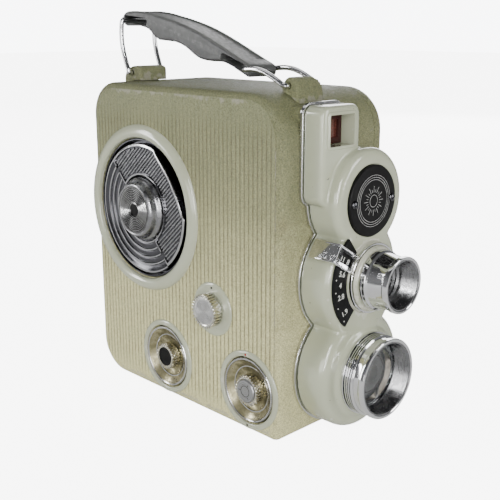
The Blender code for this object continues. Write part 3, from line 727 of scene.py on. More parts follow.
class Effects:
    """The node groups that several finishes share, each built once."""

    def __init__(self) -> None:
        """Build every group."""
        self.crinkle = self._crinkle()
        self.wear = self._wear()
        self.stain = self._stain()
        self.scuffs = self._scuffs()
        self.rings = self._rings()

    @staticmethod
    def _open(name: str, inputs: Sequence[tuple[str, float]], output: str) -> tuple[Bench, Node,
            Node]:
        """Start a group with a Vector input, plain number inputs and one number output.

        Args:
            name: Name of the new object or group.
            inputs: Values of the inputs.
            output: Name of the output.
        """
        tree = bpy.data.node_groups.new(name, "ShaderNodeTree")
        tree.interface.new_socket("Vector", in_out="INPUT", socket_type="NodeSocketVector")
        for label, value in inputs:
            socket = tree.interface.new_socket(label, in_out="INPUT", socket_type="NodeSocketFloat")
            socket.default_value = value
        tree.interface.new_socket(output, in_out="OUTPUT", socket_type="NodeSocketFloat")
        return Bench(tree), tree.nodes.new("NodeGroupInput"), tree.nodes.new("NodeGroupOutput")

    def _crinkle(self) -> NodeTree:
        """Wrinkled stove paint: soft worms with fine grit over them."""
        bench, given, result = self._open("crinkle_height", [("Scale", 1300.0), ("Grit", 0.3)],
            "Height")
        worms = bench.node("TexNoise", noise_dimensions="3D")
        bench.feed(worms, "Vector", given.outputs["Vector"])
        bench.feed(worms, "Scale", given.outputs["Scale"])
        bench.feed(worms, "Detail", 2.0)
        bench.feed(worms, "Distortion", 0.8)
        ridge = bench.sums("SUBTRACT", 1.0, bench.sums("ABSOLUTE",
            bench.sums("MULTIPLY", bench.sums("SUBTRACT", worms.outputs["Fac"], 0.5), 4.5)))
        grit = bench.noise(given.outputs["Vector"], 5200.0, 1.0)
        bench.feed(result, "Height", bench.sums("ADD", bench.sums("MAXIMUM", ridge, 0.0),
            bench.times(grit, given.outputs["Grit"])))
        return bench.tree

    def _wear(self) -> NodeTree:
        """Where raised edges have rubbed bare: convex places broken up by noise."""
        bench, given, result = self._open("edge_wear", [("Amount", 0.5), ("Scale", 260.0)], "Mask")
        point = bench.node("NewGeometry").outputs["Pointiness"]
        rough = bench.node("TexNoise")
        bench.feed(rough, "Vector", given.outputs["Vector"])
        bench.feed(rough, "Scale", given.outputs["Scale"])
        bench.feed(rough, "Detail", 6.0)
        edge = bench.span(point, 0.515, 0.6)
        worn = bench.plus(bench.times(edge, given.outputs["Amount"]),
            bench.sums("SUBTRACT", rough.outputs["Fac"], 0.62))
        bench.feed(result, "Mask", bench.span(worn, 0.12, 0.26))
        return bench.tree

    def _stain(self) -> NodeTree:
        """Broad cloudy soiling."""
        bench, given, result = self._open("stain", [("Scale", 40.0), ("Spread", 0.5)], "Mask")
        cloud = bench.node("TexNoise")
        bench.feed(cloud, "Vector", given.outputs["Vector"])
        bench.feed(cloud, "Scale", given.outputs["Scale"])
        bench.feed(cloud, "Detail", 7.0)
        bench.feed(cloud, "Roughness", 0.65)
        bench.feed(result, "Mask", bench.span(bench.sums("ADD", cloud.outputs["Fac"],
            bench.sums("SUBTRACT", given.outputs["Spread"], 0.5)), 0.48, 0.72))
        return bench.tree

    def _scuffs(self) -> NodeTree:
        """Fine hairline scratches in two directions."""
        bench, given, result = self._open("scuffs", [("Scale", 900.0), ("Amount", 0.5)], "Mask")
        lines = []
        for stretch, turn in (((1.0, 0.04, 0.2), 0.5), ((0.05, 1.0, 0.6), -0.9)):
            mapping = bench.node("Mapping")
            bench.feed(mapping, "Vector", given.outputs["Vector"])
            mapping.inputs["Rotation"].default_value = (turn, 0.3, turn * 1.7)
            mapping.inputs["Scale"].default_value = stretch
            line = bench.node("TexNoise")
            bench.feed(line, "Vector", mapping.outputs[0])
            bench.feed(line, "Scale", given.outputs["Scale"])
            bench.feed(line, "Detail", 2.0)
            lines.append(bench.span(line.outputs["Fac"], 0.63, 0.72))
        bench.feed(result, "Mask", bench.times(bench.sums("MAXIMUM", lines[0], lines[1]),
            given.outputs["Amount"]))
        return bench.tree

    def _rings(self) -> NodeTree:
        """Tool marks of the lathe: rings about the local Z axis."""
        bench, given, result = self._open("lathe_rings", [("Count", 2500.0)], "Height")
        flat = bench.node("VectorMath", operation="MULTIPLY")
        bench.feed(flat, 0, given.outputs["Vector"])
        flat.inputs[1].default_value = (1.0, 1.0, 0.0)
        length = bench.node("VectorMath", operation="LENGTH")
        bench.feed(length, 0, flat.outputs[0])
        wave = bench.sums("SINE", bench.times(length.outputs["Value"], given.outputs["Count"]))
        fine = bench.node("TexNoise", noise_dimensions="1D")
        bench.feed(fine, "W", length.outputs["Value"])
        bench.feed(fine, "Scale", 3000.0)
        bench.feed(result, "Height", bench.plus(bench.times(wave, 0.5),
            bench.times(fine.outputs["Fac"], 0.4)))
        return bench.tree


@dataclass(frozen=True)
class Finish:
    """A surface finish; a subclass says how its shader is made."""

    name: str

    def material(self, effects: Effects) -> bpy.types.Material:
        """The finish as a material, made once."""
        made = bpy.data.materials.get(self.name)
        if made is None:
            made = bpy.data.materials.new(self.name)
            made.use_nodes = True
            self.dress(Bench(made.node_tree), made.node_tree.nodes["Principled BSDF"], effects)
        return made

    def dress(self, bench: Bench, shader: Node, effects: Effects) -> None:
        """Build the nodes of the finish."""
        raise NotImplementedError

    @staticmethod
    def bump(bench: Bench, shader: Node, height: object, strength: float, distance: float,
            before: object = None) -> Socket:
        """Feed a height to the shader's normal and give back the bump's output.

        Args:
            bench: Node builder of the material.
            shader: The Principled node.
            height: Size upwards.
            strength: Strength of the bump.
            distance: Height of the bump.
            before: Normal to build on.

        Returns:
            The output socket.
        """
        made = bench.node("Bump")
        made.inputs["Strength"].default_value = strength
        made.inputs["Distance"].default_value = distance * MM
        bench.feed(made, "Height", height)
        if before is not None:
            bench.feed(made, "Normal", before)
        bench.feed(shader, "Normal", made.outputs[0])
        return made.outputs[0]


@dataclass(frozen=True)
class CrinklePaint(Finish):
    """Wrinkled stove paint, soiled along its edges, with painted light and shade: paler and
    yellower towards the base, darker towards the top.
    """

    # top and base are painted shade and painted light: the paint darkens from base to top
    top: Colour = (0.165, 0.172, 0.084)
    base: Colour = (0.600, 0.572, 0.300)
    soil: Colour = (0.120, 0.080, 0.035)
    height: float = 0.30
    strength: float = 0.95
    ribs: float = 0.0

    def dress(self, bench: Bench, shader: Node, effects: Effects) -> None:
        """Grain, a slow change of colour with height that paints light on the base and shade on the
        top, soiling near the front, rubbed edges and, on ribbed paint, painted shade in the
        grooves.
        """
        where = bench.place()
        axes = bench.node("SeparateXYZ")
        bench.feed(axes, 0, where)
        cloud = bench.noise(where, 22.0, 5.0, 0.6)
        # Painted light and shade: the colour runs from the pale base colour low down to the dark
        # top colour high up, wavered by a cloud.
        level = bench.plus(axes.outputs["Z"], bench.times(bench.sums("SUBTRACT", cloud, 0.5), 0.06))
        colour = bench.blend(bench.span(level, 0.012, 0.125), self.base, self.top)
        stain = bench.effect(effects.stain, where, Scale=34.0, Spread=0.46)
        edge = bench.span(axes.outputs["Y"], -0.040, -0.0535)
        soiled = bench.times(stain, bench.plus(0.14, bench.times(edge, 0.60)))
        colour = bench.blend(soiled, colour, self.soil)
        speckle = bench.span(bench.noise(where, 2600.0, 2.0), 0.30, 0.70, 0.62, 1.22)
        light = bench.node("CombineXYZ")
        for socket in range(3):
            bench.feed(light, socket, speckle)
        colour = bench.blend(1.0, colour, light.outputs[0], "MULTIPLY")
        if self.ribs:
            colour = self._painted_groove_shade(bench, axes, where, colour)
        wear = bench.effect(effects.wear, where, Amount=0.35, Scale=420.0)
        bench.feed(shader, "Base Color", bench.blend(bench.times(wear, 0.5), colour,
            (0.3, 0.29, 0.24)))
        bench.feed(shader, "Roughness", bench.span(bench.noise(where, 900.0), 0.2, 0.8, 0.42, 0.62))
        shader.inputs["Specular IOR Level"].default_value = 0.45
        grain = bench.effect(effects.crinkle, where, Scale=1250.0, Grit=0.25)
        self.bump(bench, shader, grain, self.strength, self.height)

    def _painted_groove_shade(self, bench: Bench, axes: Node, where: object, colour: object) -> Socket:
        """Paint shade into the grooves between ribs, less so where the ribs die away.

        Args:
            bench: Node builder of the material.
            axes: Separated coordinates.
            where: Coordinates.
            colour: Colour.

        Returns:
            The output socket.
        """
        # Painted shade: the grooves between ribs are coloured dark.
        wave = bench.sums("ABSOLUTE", bench.sums("SINE",
            bench.times(axes.outputs["Y"], math.pi / (self.ribs * MM))))
        groove = bench.span(wave, 0.70, 0.10)
        fade = bench.times(bench.span(axes.outputs["Z"], 0.002, 0.01),
            bench.span(axes.outputs["Z"], 0.119, 0.106))
        broken = bench.span(bench.noise(where, 620.0, 3.0), 0.25, 0.7, 0.45, 0.9)
        return bench.blend(bench.times(bench.times(groove, fade), broken), colour,
            (0.085, 0.076, 0.034))


@dataclass(frozen=True)
class GlossEnamel(Finish):
    """Cream-grey gloss enamel over a casting, chipped and a little orange-peeled."""

    colour: Colour = (0.400, 0.420, 0.315)
    shade: Colour = (0.320, 0.335, 0.230)
    chip: Colour = (0.090, 0.085, 0.060)

    def dress(self, bench: Bench, shader: Node, effects: Effects) -> None:
        """Cloudy cream colour, small dark chips, rubbed edges and a slight peel."""
        where = bench.place()
        colour = bench.blend(bench.noise(where, 60.0, 4.0), self.shade, self.colour)
        grime = bench.effect(effects.stain, where, Scale=120.0, Spread=0.38)
        colour = bench.blend(bench.times(grime, 0.30), colour, (0.16, 0.13, 0.08))
        chips = bench.span(bench.noise(where, 420.0, 3.0, 0.6), 0.715, 0.735)
        wear = bench.effect(effects.wear, where, Amount=0.42, Scale=500.0)
        colour = bench.blend(bench.times(wear, 0.55), colour, (0.52, 0.50, 0.43))
        bench.feed(shader, "Base Color", bench.blend(chips, colour, self.chip))
        rough = bench.span(bench.noise(where, 300.0, 4.0), 0.3, 0.75, 0.10, 0.22)
        bench.feed(shader, "Roughness", bench.plus(rough, bench.times(chips, 0.4)))
        shader.inputs["Coat Weight"].default_value = 0.7
        shader.inputs["Coat Roughness"].default_value = 0.08
        peel = bench.noise(where, 700.0, 2.0)
        height = bench.sums("SUBTRACT", bench.times(peel, 0.25), chips)
        self.bump(bench, shader, height, 0.30, 0.05)


@dataclass(frozen=True)
class Chrome(Finish):
    """Plated metal with a haze of fine scratches and a little grime."""

    colour: Colour = (0.74, 0.74, 0.75)
    grime: Colour = (0.20, 0.19, 0.16)
    rough: float = 0.09
    soiling: float = 0.30

    def dress(self, bench: Bench, shader: Node, effects: Effects) -> None:
        """Plating with cloudy grime, hairlines and uneven polish."""
        where = bench.place()
        cloud = bench.effect(effects.stain, where, Scale=210.0, Spread=0.42)
        bench.feed(shader, "Base Color", bench.blend(bench.times(cloud, self.soiling), self.colour,
            self.grime))
        shader.inputs["Metallic"].default_value = 1.0
        marks = bench.effect(effects.scuffs, where, Scale=1500.0, Amount=0.5)
        polish = bench.span(bench.noise(where, 350.0, 5.0), 0.3, 0.8, self.rough * 0.7,
            self.rough * 1.6)
        bench.feed(shader, "Roughness", bench.plus(polish, bench.times(marks, 0.18)))
        height = bench.sums("SUBTRACT", bench.noise(where, 500.0, 2.0), marks)
        self.bump(bench, shader, height, 0.10, 0.03)


@dataclass(frozen=True)
class TurnedMetal(Finish):
    """Metal with the ring marks of the lathe round one axis, painted shade in the valleys between
    them, and a sheen that fans across them.
    """

    spot: Spot = HOME
    colour: Colour = (0.70, 0.70, 0.70)
    # grime is the colour of both the painted shade in the ring valleys and the grime clouds;
    # soiling sets how strong both are.
    grime: Colour = (0.16, 0.14, 0.10)
    rough: float = 0.22
    soiling: float = 0.3
    axis: str = "X"
    count: float = 9000.0
    sheen: float = 0.6
    depth: float = 0.02

    def dress(self, bench: Bench, shader: Node, effects: Effects) -> None:
        """Rings round the axis with painted shade in the valleys between them, and clouds of grime.
        """
        where = bench.place(self.spot)
        rings = bench.effect(effects.rings, where, Count=self.count)
        cloud = bench.effect(effects.stain, where, Scale=260.0, Spread=0.5)
        # Painted shade: the valleys between the rings are darkened towards the grime colour.
        valley_shade = bench.span(rings, 0.55, -0.1)
        tint = bench.times(bench.sums("MAXIMUM", valley_shade, bench.times(cloud, 0.6)), self.soiling)
        bench.feed(shader, "Base Color", bench.blend(tint, self.colour, self.grime))
        shader.inputs["Metallic"].default_value = 1.0
        shader.inputs["Anisotropic"].default_value = self.sheen
        tangent = bench.node("Tangent", direction_type="RADIAL", axis=self.axis)
        bench.feed(shader, "Tangent", tangent.outputs[0])
        bench.feed(shader, "Roughness", bench.span(bench.noise(where, 500.0, 4.0), 0.3, 0.8,
            self.rough * 0.8, self.rough * 1.5))
        self.bump(bench, shader, rings, 0.35, self.depth)


@dataclass(frozen=True)
class Tarnish(Finish):
    """Bare brass or plated brass that has gone olive and brown in blotches."""

    spot: Spot = HOME
    bright: Colour = (0.46, 0.42, 0.27)
    dull: Colour = (0.150, 0.138, 0.072)
    rough: float = 0.30

    def dress(self, bench: Bench, shader: Node, effects: Effects) -> None:
        """Blotches of tarnish over ring marks."""
        where = bench.place(self.spot)
        blotch = bench.effect(effects.stain, where, Scale=150.0, Spread=0.62)
        fine = bench.noise(where, 1400.0, 4.0, 0.7)
        mask = bench.plus(bench.times(blotch, 0.75), bench.times(fine, 0.3), True)
        bench.feed(shader, "Base Color", bench.blend(mask, self.bright, self.dull))
        shader.inputs["Metallic"].default_value = 0.9
        bench.feed(shader, "Roughness", bench.span(mask, 0.0, 1.0, self.rough * 0.7,
            self.rough * 1.7))
        rings = bench.effect(effects.rings, where, Count=7000.0)
        self.bump(bench, shader, bench.plus(bench.times(rings, 0.5), fine), 0.3, 0.03)


@dataclass(frozen=True)
class MouldedPlastic(Finish):
    """Moulded grip plastic with a fine grain, paler on what faces up."""

    colour: Colour = (0.045, 0.046, 0.045)
    rubbed: Colour = (0.115, 0.118, 0.112)
    rough: float = 0.42

    def dress(self, bench: Bench, shader: Node, effects: Effects) -> None:
        """Fine mould grain with rubbed edges and a mottled paler colour on what faces up."""
        where = bench.place()
        up = bench.node("SeparateXYZ")
        bench.feed(up, 0, bench.node("NewGeometry").outputs["Normal"])
        # Paler where the face points up, mottled by noise.
        top = bench.times(bench.span(up.outputs["Z"], 0.25, 0.9),
            bench.span(bench.noise(where, 130.0, 5.0), 0.2, 0.7, 0.35, 0.9))
        wear = bench.effect(effects.wear, where, Amount=0.5, Scale=600.0)
        mask = bench.sums("MAXIMUM", top, bench.times(wear, 0.35))
        bench.feed(shader, "Base Color", bench.blend(mask, self.colour, self.rubbed))
        bench.feed(shader, "Roughness", bench.span(bench.noise(where, 800.0, 3.0), 0.25, 0.75,
            self.rough * 0.8, self.rough * 1.25))
        grain = bench.noise(where, 3200.0, 2.0)
        self.bump(bench, shader, grain, 0.25, 0.04)


@dataclass(frozen=True)
class Lacquer(Finish):
    """Thin dark lacquer or ink, a little dusty and scuffed."""

    colour: Colour = (0.005, 0.005, 0.005)
    dust: Colour = (0.035, 0.034, 0.030)
    rough: float = 0.42
    dusting: float = 0.25

    def dress(self, bench: Bench, shader: Node, effects: Effects) -> None:
        """Lacquer with dust clouds and hairlines."""
        where = bench.place()
        cloud = bench.effect(effects.stain, where, Scale=330.0, Spread=0.45)
        marks = bench.effect(effects.scuffs, where, Scale=1800.0, Amount=0.4)
        mask = bench.times(bench.sums("MAXIMUM", cloud, marks), self.dusting)
        bench.feed(shader, "Base Color", bench.blend(mask, self.colour, self.dust))
        bench.feed(shader, "Roughness", bench.plus(bench.times(mask, 0.5), self.rough))
        shader.inputs["Specular IOR Level"].default_value = 0.10
        self.bump(bench, shader, bench.noise(where, 1500.0, 3.0), 0.15, 0.02)


@dataclass(frozen=True)
class OpticalGlass(Finish):
    """Polished glass with a faint film of dust."""

    tint: Colour = (0.93, 0.95, 0.94)
    rough: float = 0.015
    clear: float = 1.0

    def dress(self, bench: Bench, shader: Node, effects: Effects) -> None:
        """Clear glass whose polish is broken by dust and wiping marks."""
        where = bench.place()
        film = bench.effect(effects.stain, where, Scale=260.0, Spread=0.45)
        bench.feed(shader, "Base Color", bench.blend(bench.times(film, 0.25), self.tint,
            tuple((value * 0.75 for value in self.tint))))
        shader.inputs["Transmission Weight"].default_value = self.clear
        shader.inputs["IOR"].default_value = 1.5
        bench.feed(shader, "Roughness", bench.span(film, 0.0, 1.0, self.rough, self.rough + 0.05))
        self.bump(bench, shader, bench.noise(where, 90.0, 2.0), 0.05, 0.05)
        mixed = bench.node("MixShader")
        bench.feed(mixed, 0, bench.node("LightPath").outputs["Is Shadow Ray"])
        bench.feed(mixed, 1, shader.outputs[0])
        bench.feed(mixed, 2, bench.node("BsdfTransparent").outputs[0])
        bench.tree.links.new(mixed.outputs[0], bench.tree.nodes["Material Output"].inputs[
            "Surface"])


@dataclass(frozen=True)
class CellSurface(Finish):
    """The grey-brown face of a light cell with its fine collector lines."""

    colour: Colour = (0.260, 0.215, 0.165)
    pale: Colour = (0.480, 0.430, 0.360)

    def dress(self, bench: Bench, shader: Node, effects: Effects) -> None:
        """Mottled grey-brown with fine lines across it."""
        where = bench.place()
        mottle = bench.span(bench.noise(where, 800.0, 6.0, 0.7), 0.35, 0.65)
        axes = bench.node("SeparateXYZ")
        bench.feed(axes, 0, where)
        lines = bench.span(bench.sums("SINE", bench.times(axes.outputs["Z"], 5200.0)), 0.75, 0.95)
        colour = bench.blend(mottle, self.colour, self.pale)
        bench.feed(shader, "Base Color", bench.blend(bench.times(lines, 0.4), colour,
            (0.1, 0.08, 0.06)))
        bench.feed(shader, "Roughness", bench.span(mottle, 0.0, 1.0, 0.35, 0.6))
        self.bump(bench, shader, bench.plus(mottle, lines), 0.2, 0.03)


# Both crinkle paints are paler at the base and darker at the top by painted light and shade.
PAINT = CrinklePaint("crinkle_paint_worn")
RIB_PITCH = 2.13
# The ribbed paint also paints shade into the grooves between its ribs.
RIB_PAINT = CrinklePaint("crinkle_paint_ribs", height=0.14, strength=0.6, ribs=RIB_PITCH)
ENAMEL = GlossEnamel("cream_enamel_chipped")
CHROME = Chrome("bright_chrome_plate")
TRIM_CHROME = Chrome("trim_chrome_plate", colour=(0.60, 0.60, 0.60), rough=0.16, soiling=0.5)
DARK_CHROME = Chrome("dark_chrome_plate", colour=(0.085, 0.085, 0.092), grime=(0.03, 0.03, 0.03),
    rough=0.17)
KEY_CHROME = Chrome("key_chrome_plate", colour=(0.46, 0.46, 0.47), grime=(0.08, 0.08, 0.07),
    rough=0.13)
RIB_CHROME = Chrome("rib_chrome_plate", colour=(0.27, 0.27, 0.28), grime=(0.05, 0.05, 0.045),
    rough=0.24, soiling=0.6)
STEEL = Chrome("satin_steel", colour=(0.42, 0.42, 0.41), rough=0.32, soiling=0.5)
LINING = Chrome("lining_dark_plate", colour=(0.24, 0.24, 0.245), grime=(0.015, 0.015, 0.015),
    rough=0.25)
WORKS_BRASS = Tarnish("works_brass", bright=(0.62, 0.46, 0.22), dull=(0.35, 0.24, 0.10), rough=0.28)
BLACK = Lacquer("black_lacquer_dusty")
INSIDE_BLACK = Lacquer("inside_black", colour=(0.02, 0.02, 0.02), rough=0.6)
INK = Lacquer("white_ink", colour=(0.62, 0.62, 0.58), dust=(0.30, 0.29, 0.25), rough=0.45)
SILVER_INK = Chrome("silver_line", colour=(0.62, 0.62, 0.60), rough=0.3)
DARK_INK = Lacquer("dark_ink", colour=(0.02, 0.018, 0.015), rough=0.45)
RED_INK = Lacquer("red_ink", colour=(0.25, 0.02, 0.015), dust=(0.2, 0.08, 0.06), rough=0.4)
GLASS = OpticalGlass("lens_glass_clear")
FINDER_GLASS = OpticalGlass("finder_glass_dark", tint=(0.17, 0.060, 0.045), rough=0.06, clear=0.55)
CELL = CellSurface("cell_face")
GRIP = MouldedPlastic("grip_plastic")


# ---------------------------------------------------------------- dressing

class Fitter:
    """Dresses pieces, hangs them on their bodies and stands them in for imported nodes."""

    def __init__(self, nodes: dict[str, Item]) -> None:
        """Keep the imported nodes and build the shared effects."""
        self.nodes = nodes
        self.effects = Effects()
        self.count = 0

    def fit(self, item: Item, finish: Finish, body: str, stands_for: Sequence[str] = (),
            smooth: float = 32.0) -> Item:
        """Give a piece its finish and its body.

        Args:
            item: The piece, already in place.
            finish: Its surface finish.
            body: The moving body it rides on.
            stands_for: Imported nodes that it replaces.
            smooth: Angle in degrees below which its shading is smooth.

        Returns:
            The piece.
        """
        item.data.materials.clear()
        item.data.materials.append(finish.material(self.effects))
        for polygon in item.data.polygons:
            polygon.material_index = 0
        take(item)
        bpy.ops.object.shade_smooth_by_angle(angle=math.radians(smooth))
        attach(item, body)
        if stands_for:
            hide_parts(*stands_for)
        self.count += 1
        LOG.info("%s rides on %s", item.name, body)
        return item


# ---------------------------------------------------------------- housing and door

@dataclass
class Shell:
    """The die-cast housing and the lift-off door, with their ribbed faces."""

    wall: float = 2.0
    # Corner radii: back top, back low, front low, front top
    corners: tuple[float, float, float, float] = (13.5, 13.5, 4.0, 15.5)
    near_round: float = 2.4
    door_round: float = 5.0
    rib_pitch: float = RIB_PITCH
    rib_height: float = 0.30

    def rounded_box(self, name: str, x_low: float, x_high: float, inset: float) -> Item:
        """A block of the housing's side outline between two levels of X.

        Args:
            name: Name of the block.
            x_low: Its near face.
            x_high: Its far face.
            inset: How far its outline is drawn in.

        Returns:
            The block.
        """
        item = block(name, (x_high - x_low, DEPTH - 2 * inset, HEIGHT - 2 * inset),
            ((x_low + x_high) / 2, 0, HEIGHT / 2))
        signs = ((1, 1), (1, -1), (-1, -1), (-1, 1))
        for (sign_y, sign_z), radius in zip(signs, self.corners):
            y = sign_y * (DEPTH / 2 - inset) * MM
            z = (HEIGHT / 2 + sign_z * (HEIGHT / 2 - inset)) * MM
            round_edges(item, lambda edge, y=y, z=z: all(
                abs(v.co.y - y) < 1e-6 and abs(v.co.z - z) < 1e-6 for v in edge.verts),
                max(radius - inset, 1.5), 18)
        return item

    @staticmethod
    def rim_at(x: float) -> Callable:
        """A test for edges on the face at one level of X."""
        return lambda edge: all(abs(v.co.x - x * MM) < 1e-6 for v in edge.verts)

    def housing(self) -> Item:
        """The housing, hollow and open on the door side, with every hole in it."""
        item = self.rounded_box("housing", X_NEAR, X_SEAM, 0.0)
        round_edges(item, self.rim_at(X_NEAR), self.near_round, 6)
        pad = block("pad", (18.6, 9.0, 26.0), (X_FINDER, Y_FRONT + 4.5, 106.0), HOME, 2.0, 4)
        unite(item, pad)
        cut(item, self.rounded_box("hollow", X_NEAR + self.wall, X_SEAM + 10.0, self.wall))
        cut(item, cylinder("winding_hole", 27.8, -8, 6, near(WINDING), 96),
            cylinder("speed_hole", 2.4, -8, 6, near(FRAME_SPEED)),
            cylinder("film_hole", 12.7, -8, 6, near(FILM_SPEED), 96),
            cylinder("release_hole", 12.7, -8, 6, near(RELEASE), 96),
            cylinder("lens_hole", 8.3, -14, 6, front(X_LENS, Z_LENS)),
            block("finder_hole", (12.6, DEPTH + 30, 10.6), (X_FINDER, 0, Z_FINDER)),
            cylinder("bush_hole", 5.5, -3, 5, Spot(0, -18.0, 0)))
        return tidy_mesh(item)

    def ribs(self, name: str, x: float, outward: int, inset: float,
            holes: Sequence[tuple[Point, float]]) -> Item:
        """A sheet of upright ribs that die away before the top and bottom edges.

        Args:
            name: Name of the sheet.
            x: Level of the face that it lies on.
            outward: -1 for the winding side, 1 for the door side.
            inset: Margin to the housing's outline.
            holes: ((Y, Z), radius) of each round opening.

        Returns:
            The sheet as a closed body.
        """
        half = int((DEPTH / 2 - inset + 0.8) / self.rib_pitch)
        per_rib = 8
        columns = 2 * half * per_rib
        width = 2 * half * self.rib_pitch
        low, high = 2.2, HEIGHT - 2.2
        rows = 40
        clear_selection()
        bpy.ops.mesh.primitive_grid_add(x_subdivisions=rows, y_subdivisions=columns, size=1.0)
        item = bpy.context.object
        item.scale = ((high - low) * MM, width * MM, 1.0)
        item.location = (0, 0, 0)
        bpy.ops.object.transform_apply(location=True, rotation=True, scale=True)
        edit(item)
        column_step = self.rib_pitch / per_rib * MM
        row_step = (high - low) / rows * MM
        for phase in range(1, per_rib):
            crown = math.sqrt(1 - (2 * phase / per_rib - 1) ** 2)
            for row in range(rows + 1):
                z = low + (high - low) * row / rows
                fade = min(1.0, max(0.0, (z - 3.0) / 5.0), max(0.0, (117.5 - z) / 9.0))
                if fade > 0.0:
                    level = (row - rows / 2) * row_step
                    found = self._pick_column(item, level, phase, per_rib, column_step, half)
                    if found:
                        bpy.ops.transform.translate(value=(0, 0,
                            self.rib_height * crown * fade * MM))
        close(item)
        modify(item, "SOLIDIFY", thickness=0.5 * MM, offset=-1.0)
        spot = Spot(x + outward * 0.02, 0, (low + high) / 2, Side.NEAR if outward < 0 else Side.FAR)
        settle(item, name, spot)
        tidy_mesh(item)
        keep = self.rounded_box("keep", x - 3, x + 3, inset)
        combine(item, [keep], "INTERSECT")
        for (y, z), radius in holes:
            cut(item, cylinder("hole", radius, -4, 4, Spot(x, y, z, Side.NEAR), 64))
        return item

    @staticmethod
    def _pick_column(item: Item, level: float, phase: int, per_rib: int, step: float,
            half: int) -> int:
        """Select the vertices of one row that stand at one phase of every rib."""
        def chosen(vertex: bmesh.types.BMVert) -> bool:
            """Whether a vertex is in the row and at the phase."""
            index = round(vertex.co.y / step + half * per_rib)
            return abs(vertex.co.x - level) < 1e-6 and index % per_rib == phase
        return pick(item, "VERT", chosen)

    def door(self) -> Item:
        """The door, rounded outside and hollow inside."""
        item = self.rounded_box("door", X_SEAM + GAP, X_FAR, 0.0)
        round_edges(item, self.rim_at(X_FAR), self.door_round, 10)
        hollow = self.rounded_box("door_hollow", X_SEAM - 3.0, X_FAR - 4.0, self.wall + 0.8)
        cut(item, hollow, cylinder("latch_hole", 3.3, -9, 5, Spot(X_FAR, *LATCH, Side.FAR)))
        return tidy_mesh(item)

    def latch(self) -> tuple[Item, Item]:
        """The latch knob with its bar grip, and the bar inside the door."""
        spot = Spot(X_FAR, *LATCH, Side.FAR)
        knob = knurled("latch_knob", 9.0, GAP, 2.6, 30, spot, 0.5, 0.35)
        cut(knob, turned("latch_dish", [(0, 2.1), (6.6, 2.1), (7.4, 3.0), (0, 3.0)], spot, 64))
        unite(knob, cylinder("stem", 3.0, -4.6, 1.0, spot, 32),
            block("latch_grip", (13.0, 2.4, 2.8), (0, 0, 3.3), spot, 0.6, 4))
        bar = outlined("latch_bar", rounded_rectangle(22.0, 6.4, 3.0), -6.2, -4.9, spot, 0.2)
        return knob, bar

    def build(self, fitter: Fitter) -> None:
        """Model and fit the housing, the door, their ribs and the latch."""
        fitter.fit(self.housing(), PAINT, "camera_body", ["main_body"])
        holes = [(WINDING, 30.0), (FRAME_SPEED, 9.0), (FILM_SPEED, 13.6), (RELEASE, 13.6)]
        fitter.fit(self.ribs("side_ribs", X_NEAR, -1, 2.2, holes), RIB_PAINT, "camera_body",
            smooth=50)
        fitter.fit(self.door(), PAINT, "film_door", ["film_door"])
        fitter.fit(self.ribs("door_ribs", X_FAR, 1, 5.2, [(LATCH, 8.0)]), RIB_PAINT, "film_door",
            smooth=50)
        knob, bar = self.latch()
        fitter.fit(knob, CHROME, "door_latch", ["door_latch_knob"])
        fitter.fit(bar, STEEL, "door_latch", ["door_latch_bar"])
        bush = turned("bush", [(3.2, 7.6), (6.6, 7.6), (6.6, 2.3), (5.2, 2.3), (5.2, 0.1),
            (3.4, 0.1), *thread(3.1, 0.4, 7.4, 0.7, 0.25)], Spot(0, -18.0, 0))
        fitter.fit(bush, WORKS_BRASS, "camera_body", ["tripod_bush"])


# ---------------------------------------------------------------- front tower

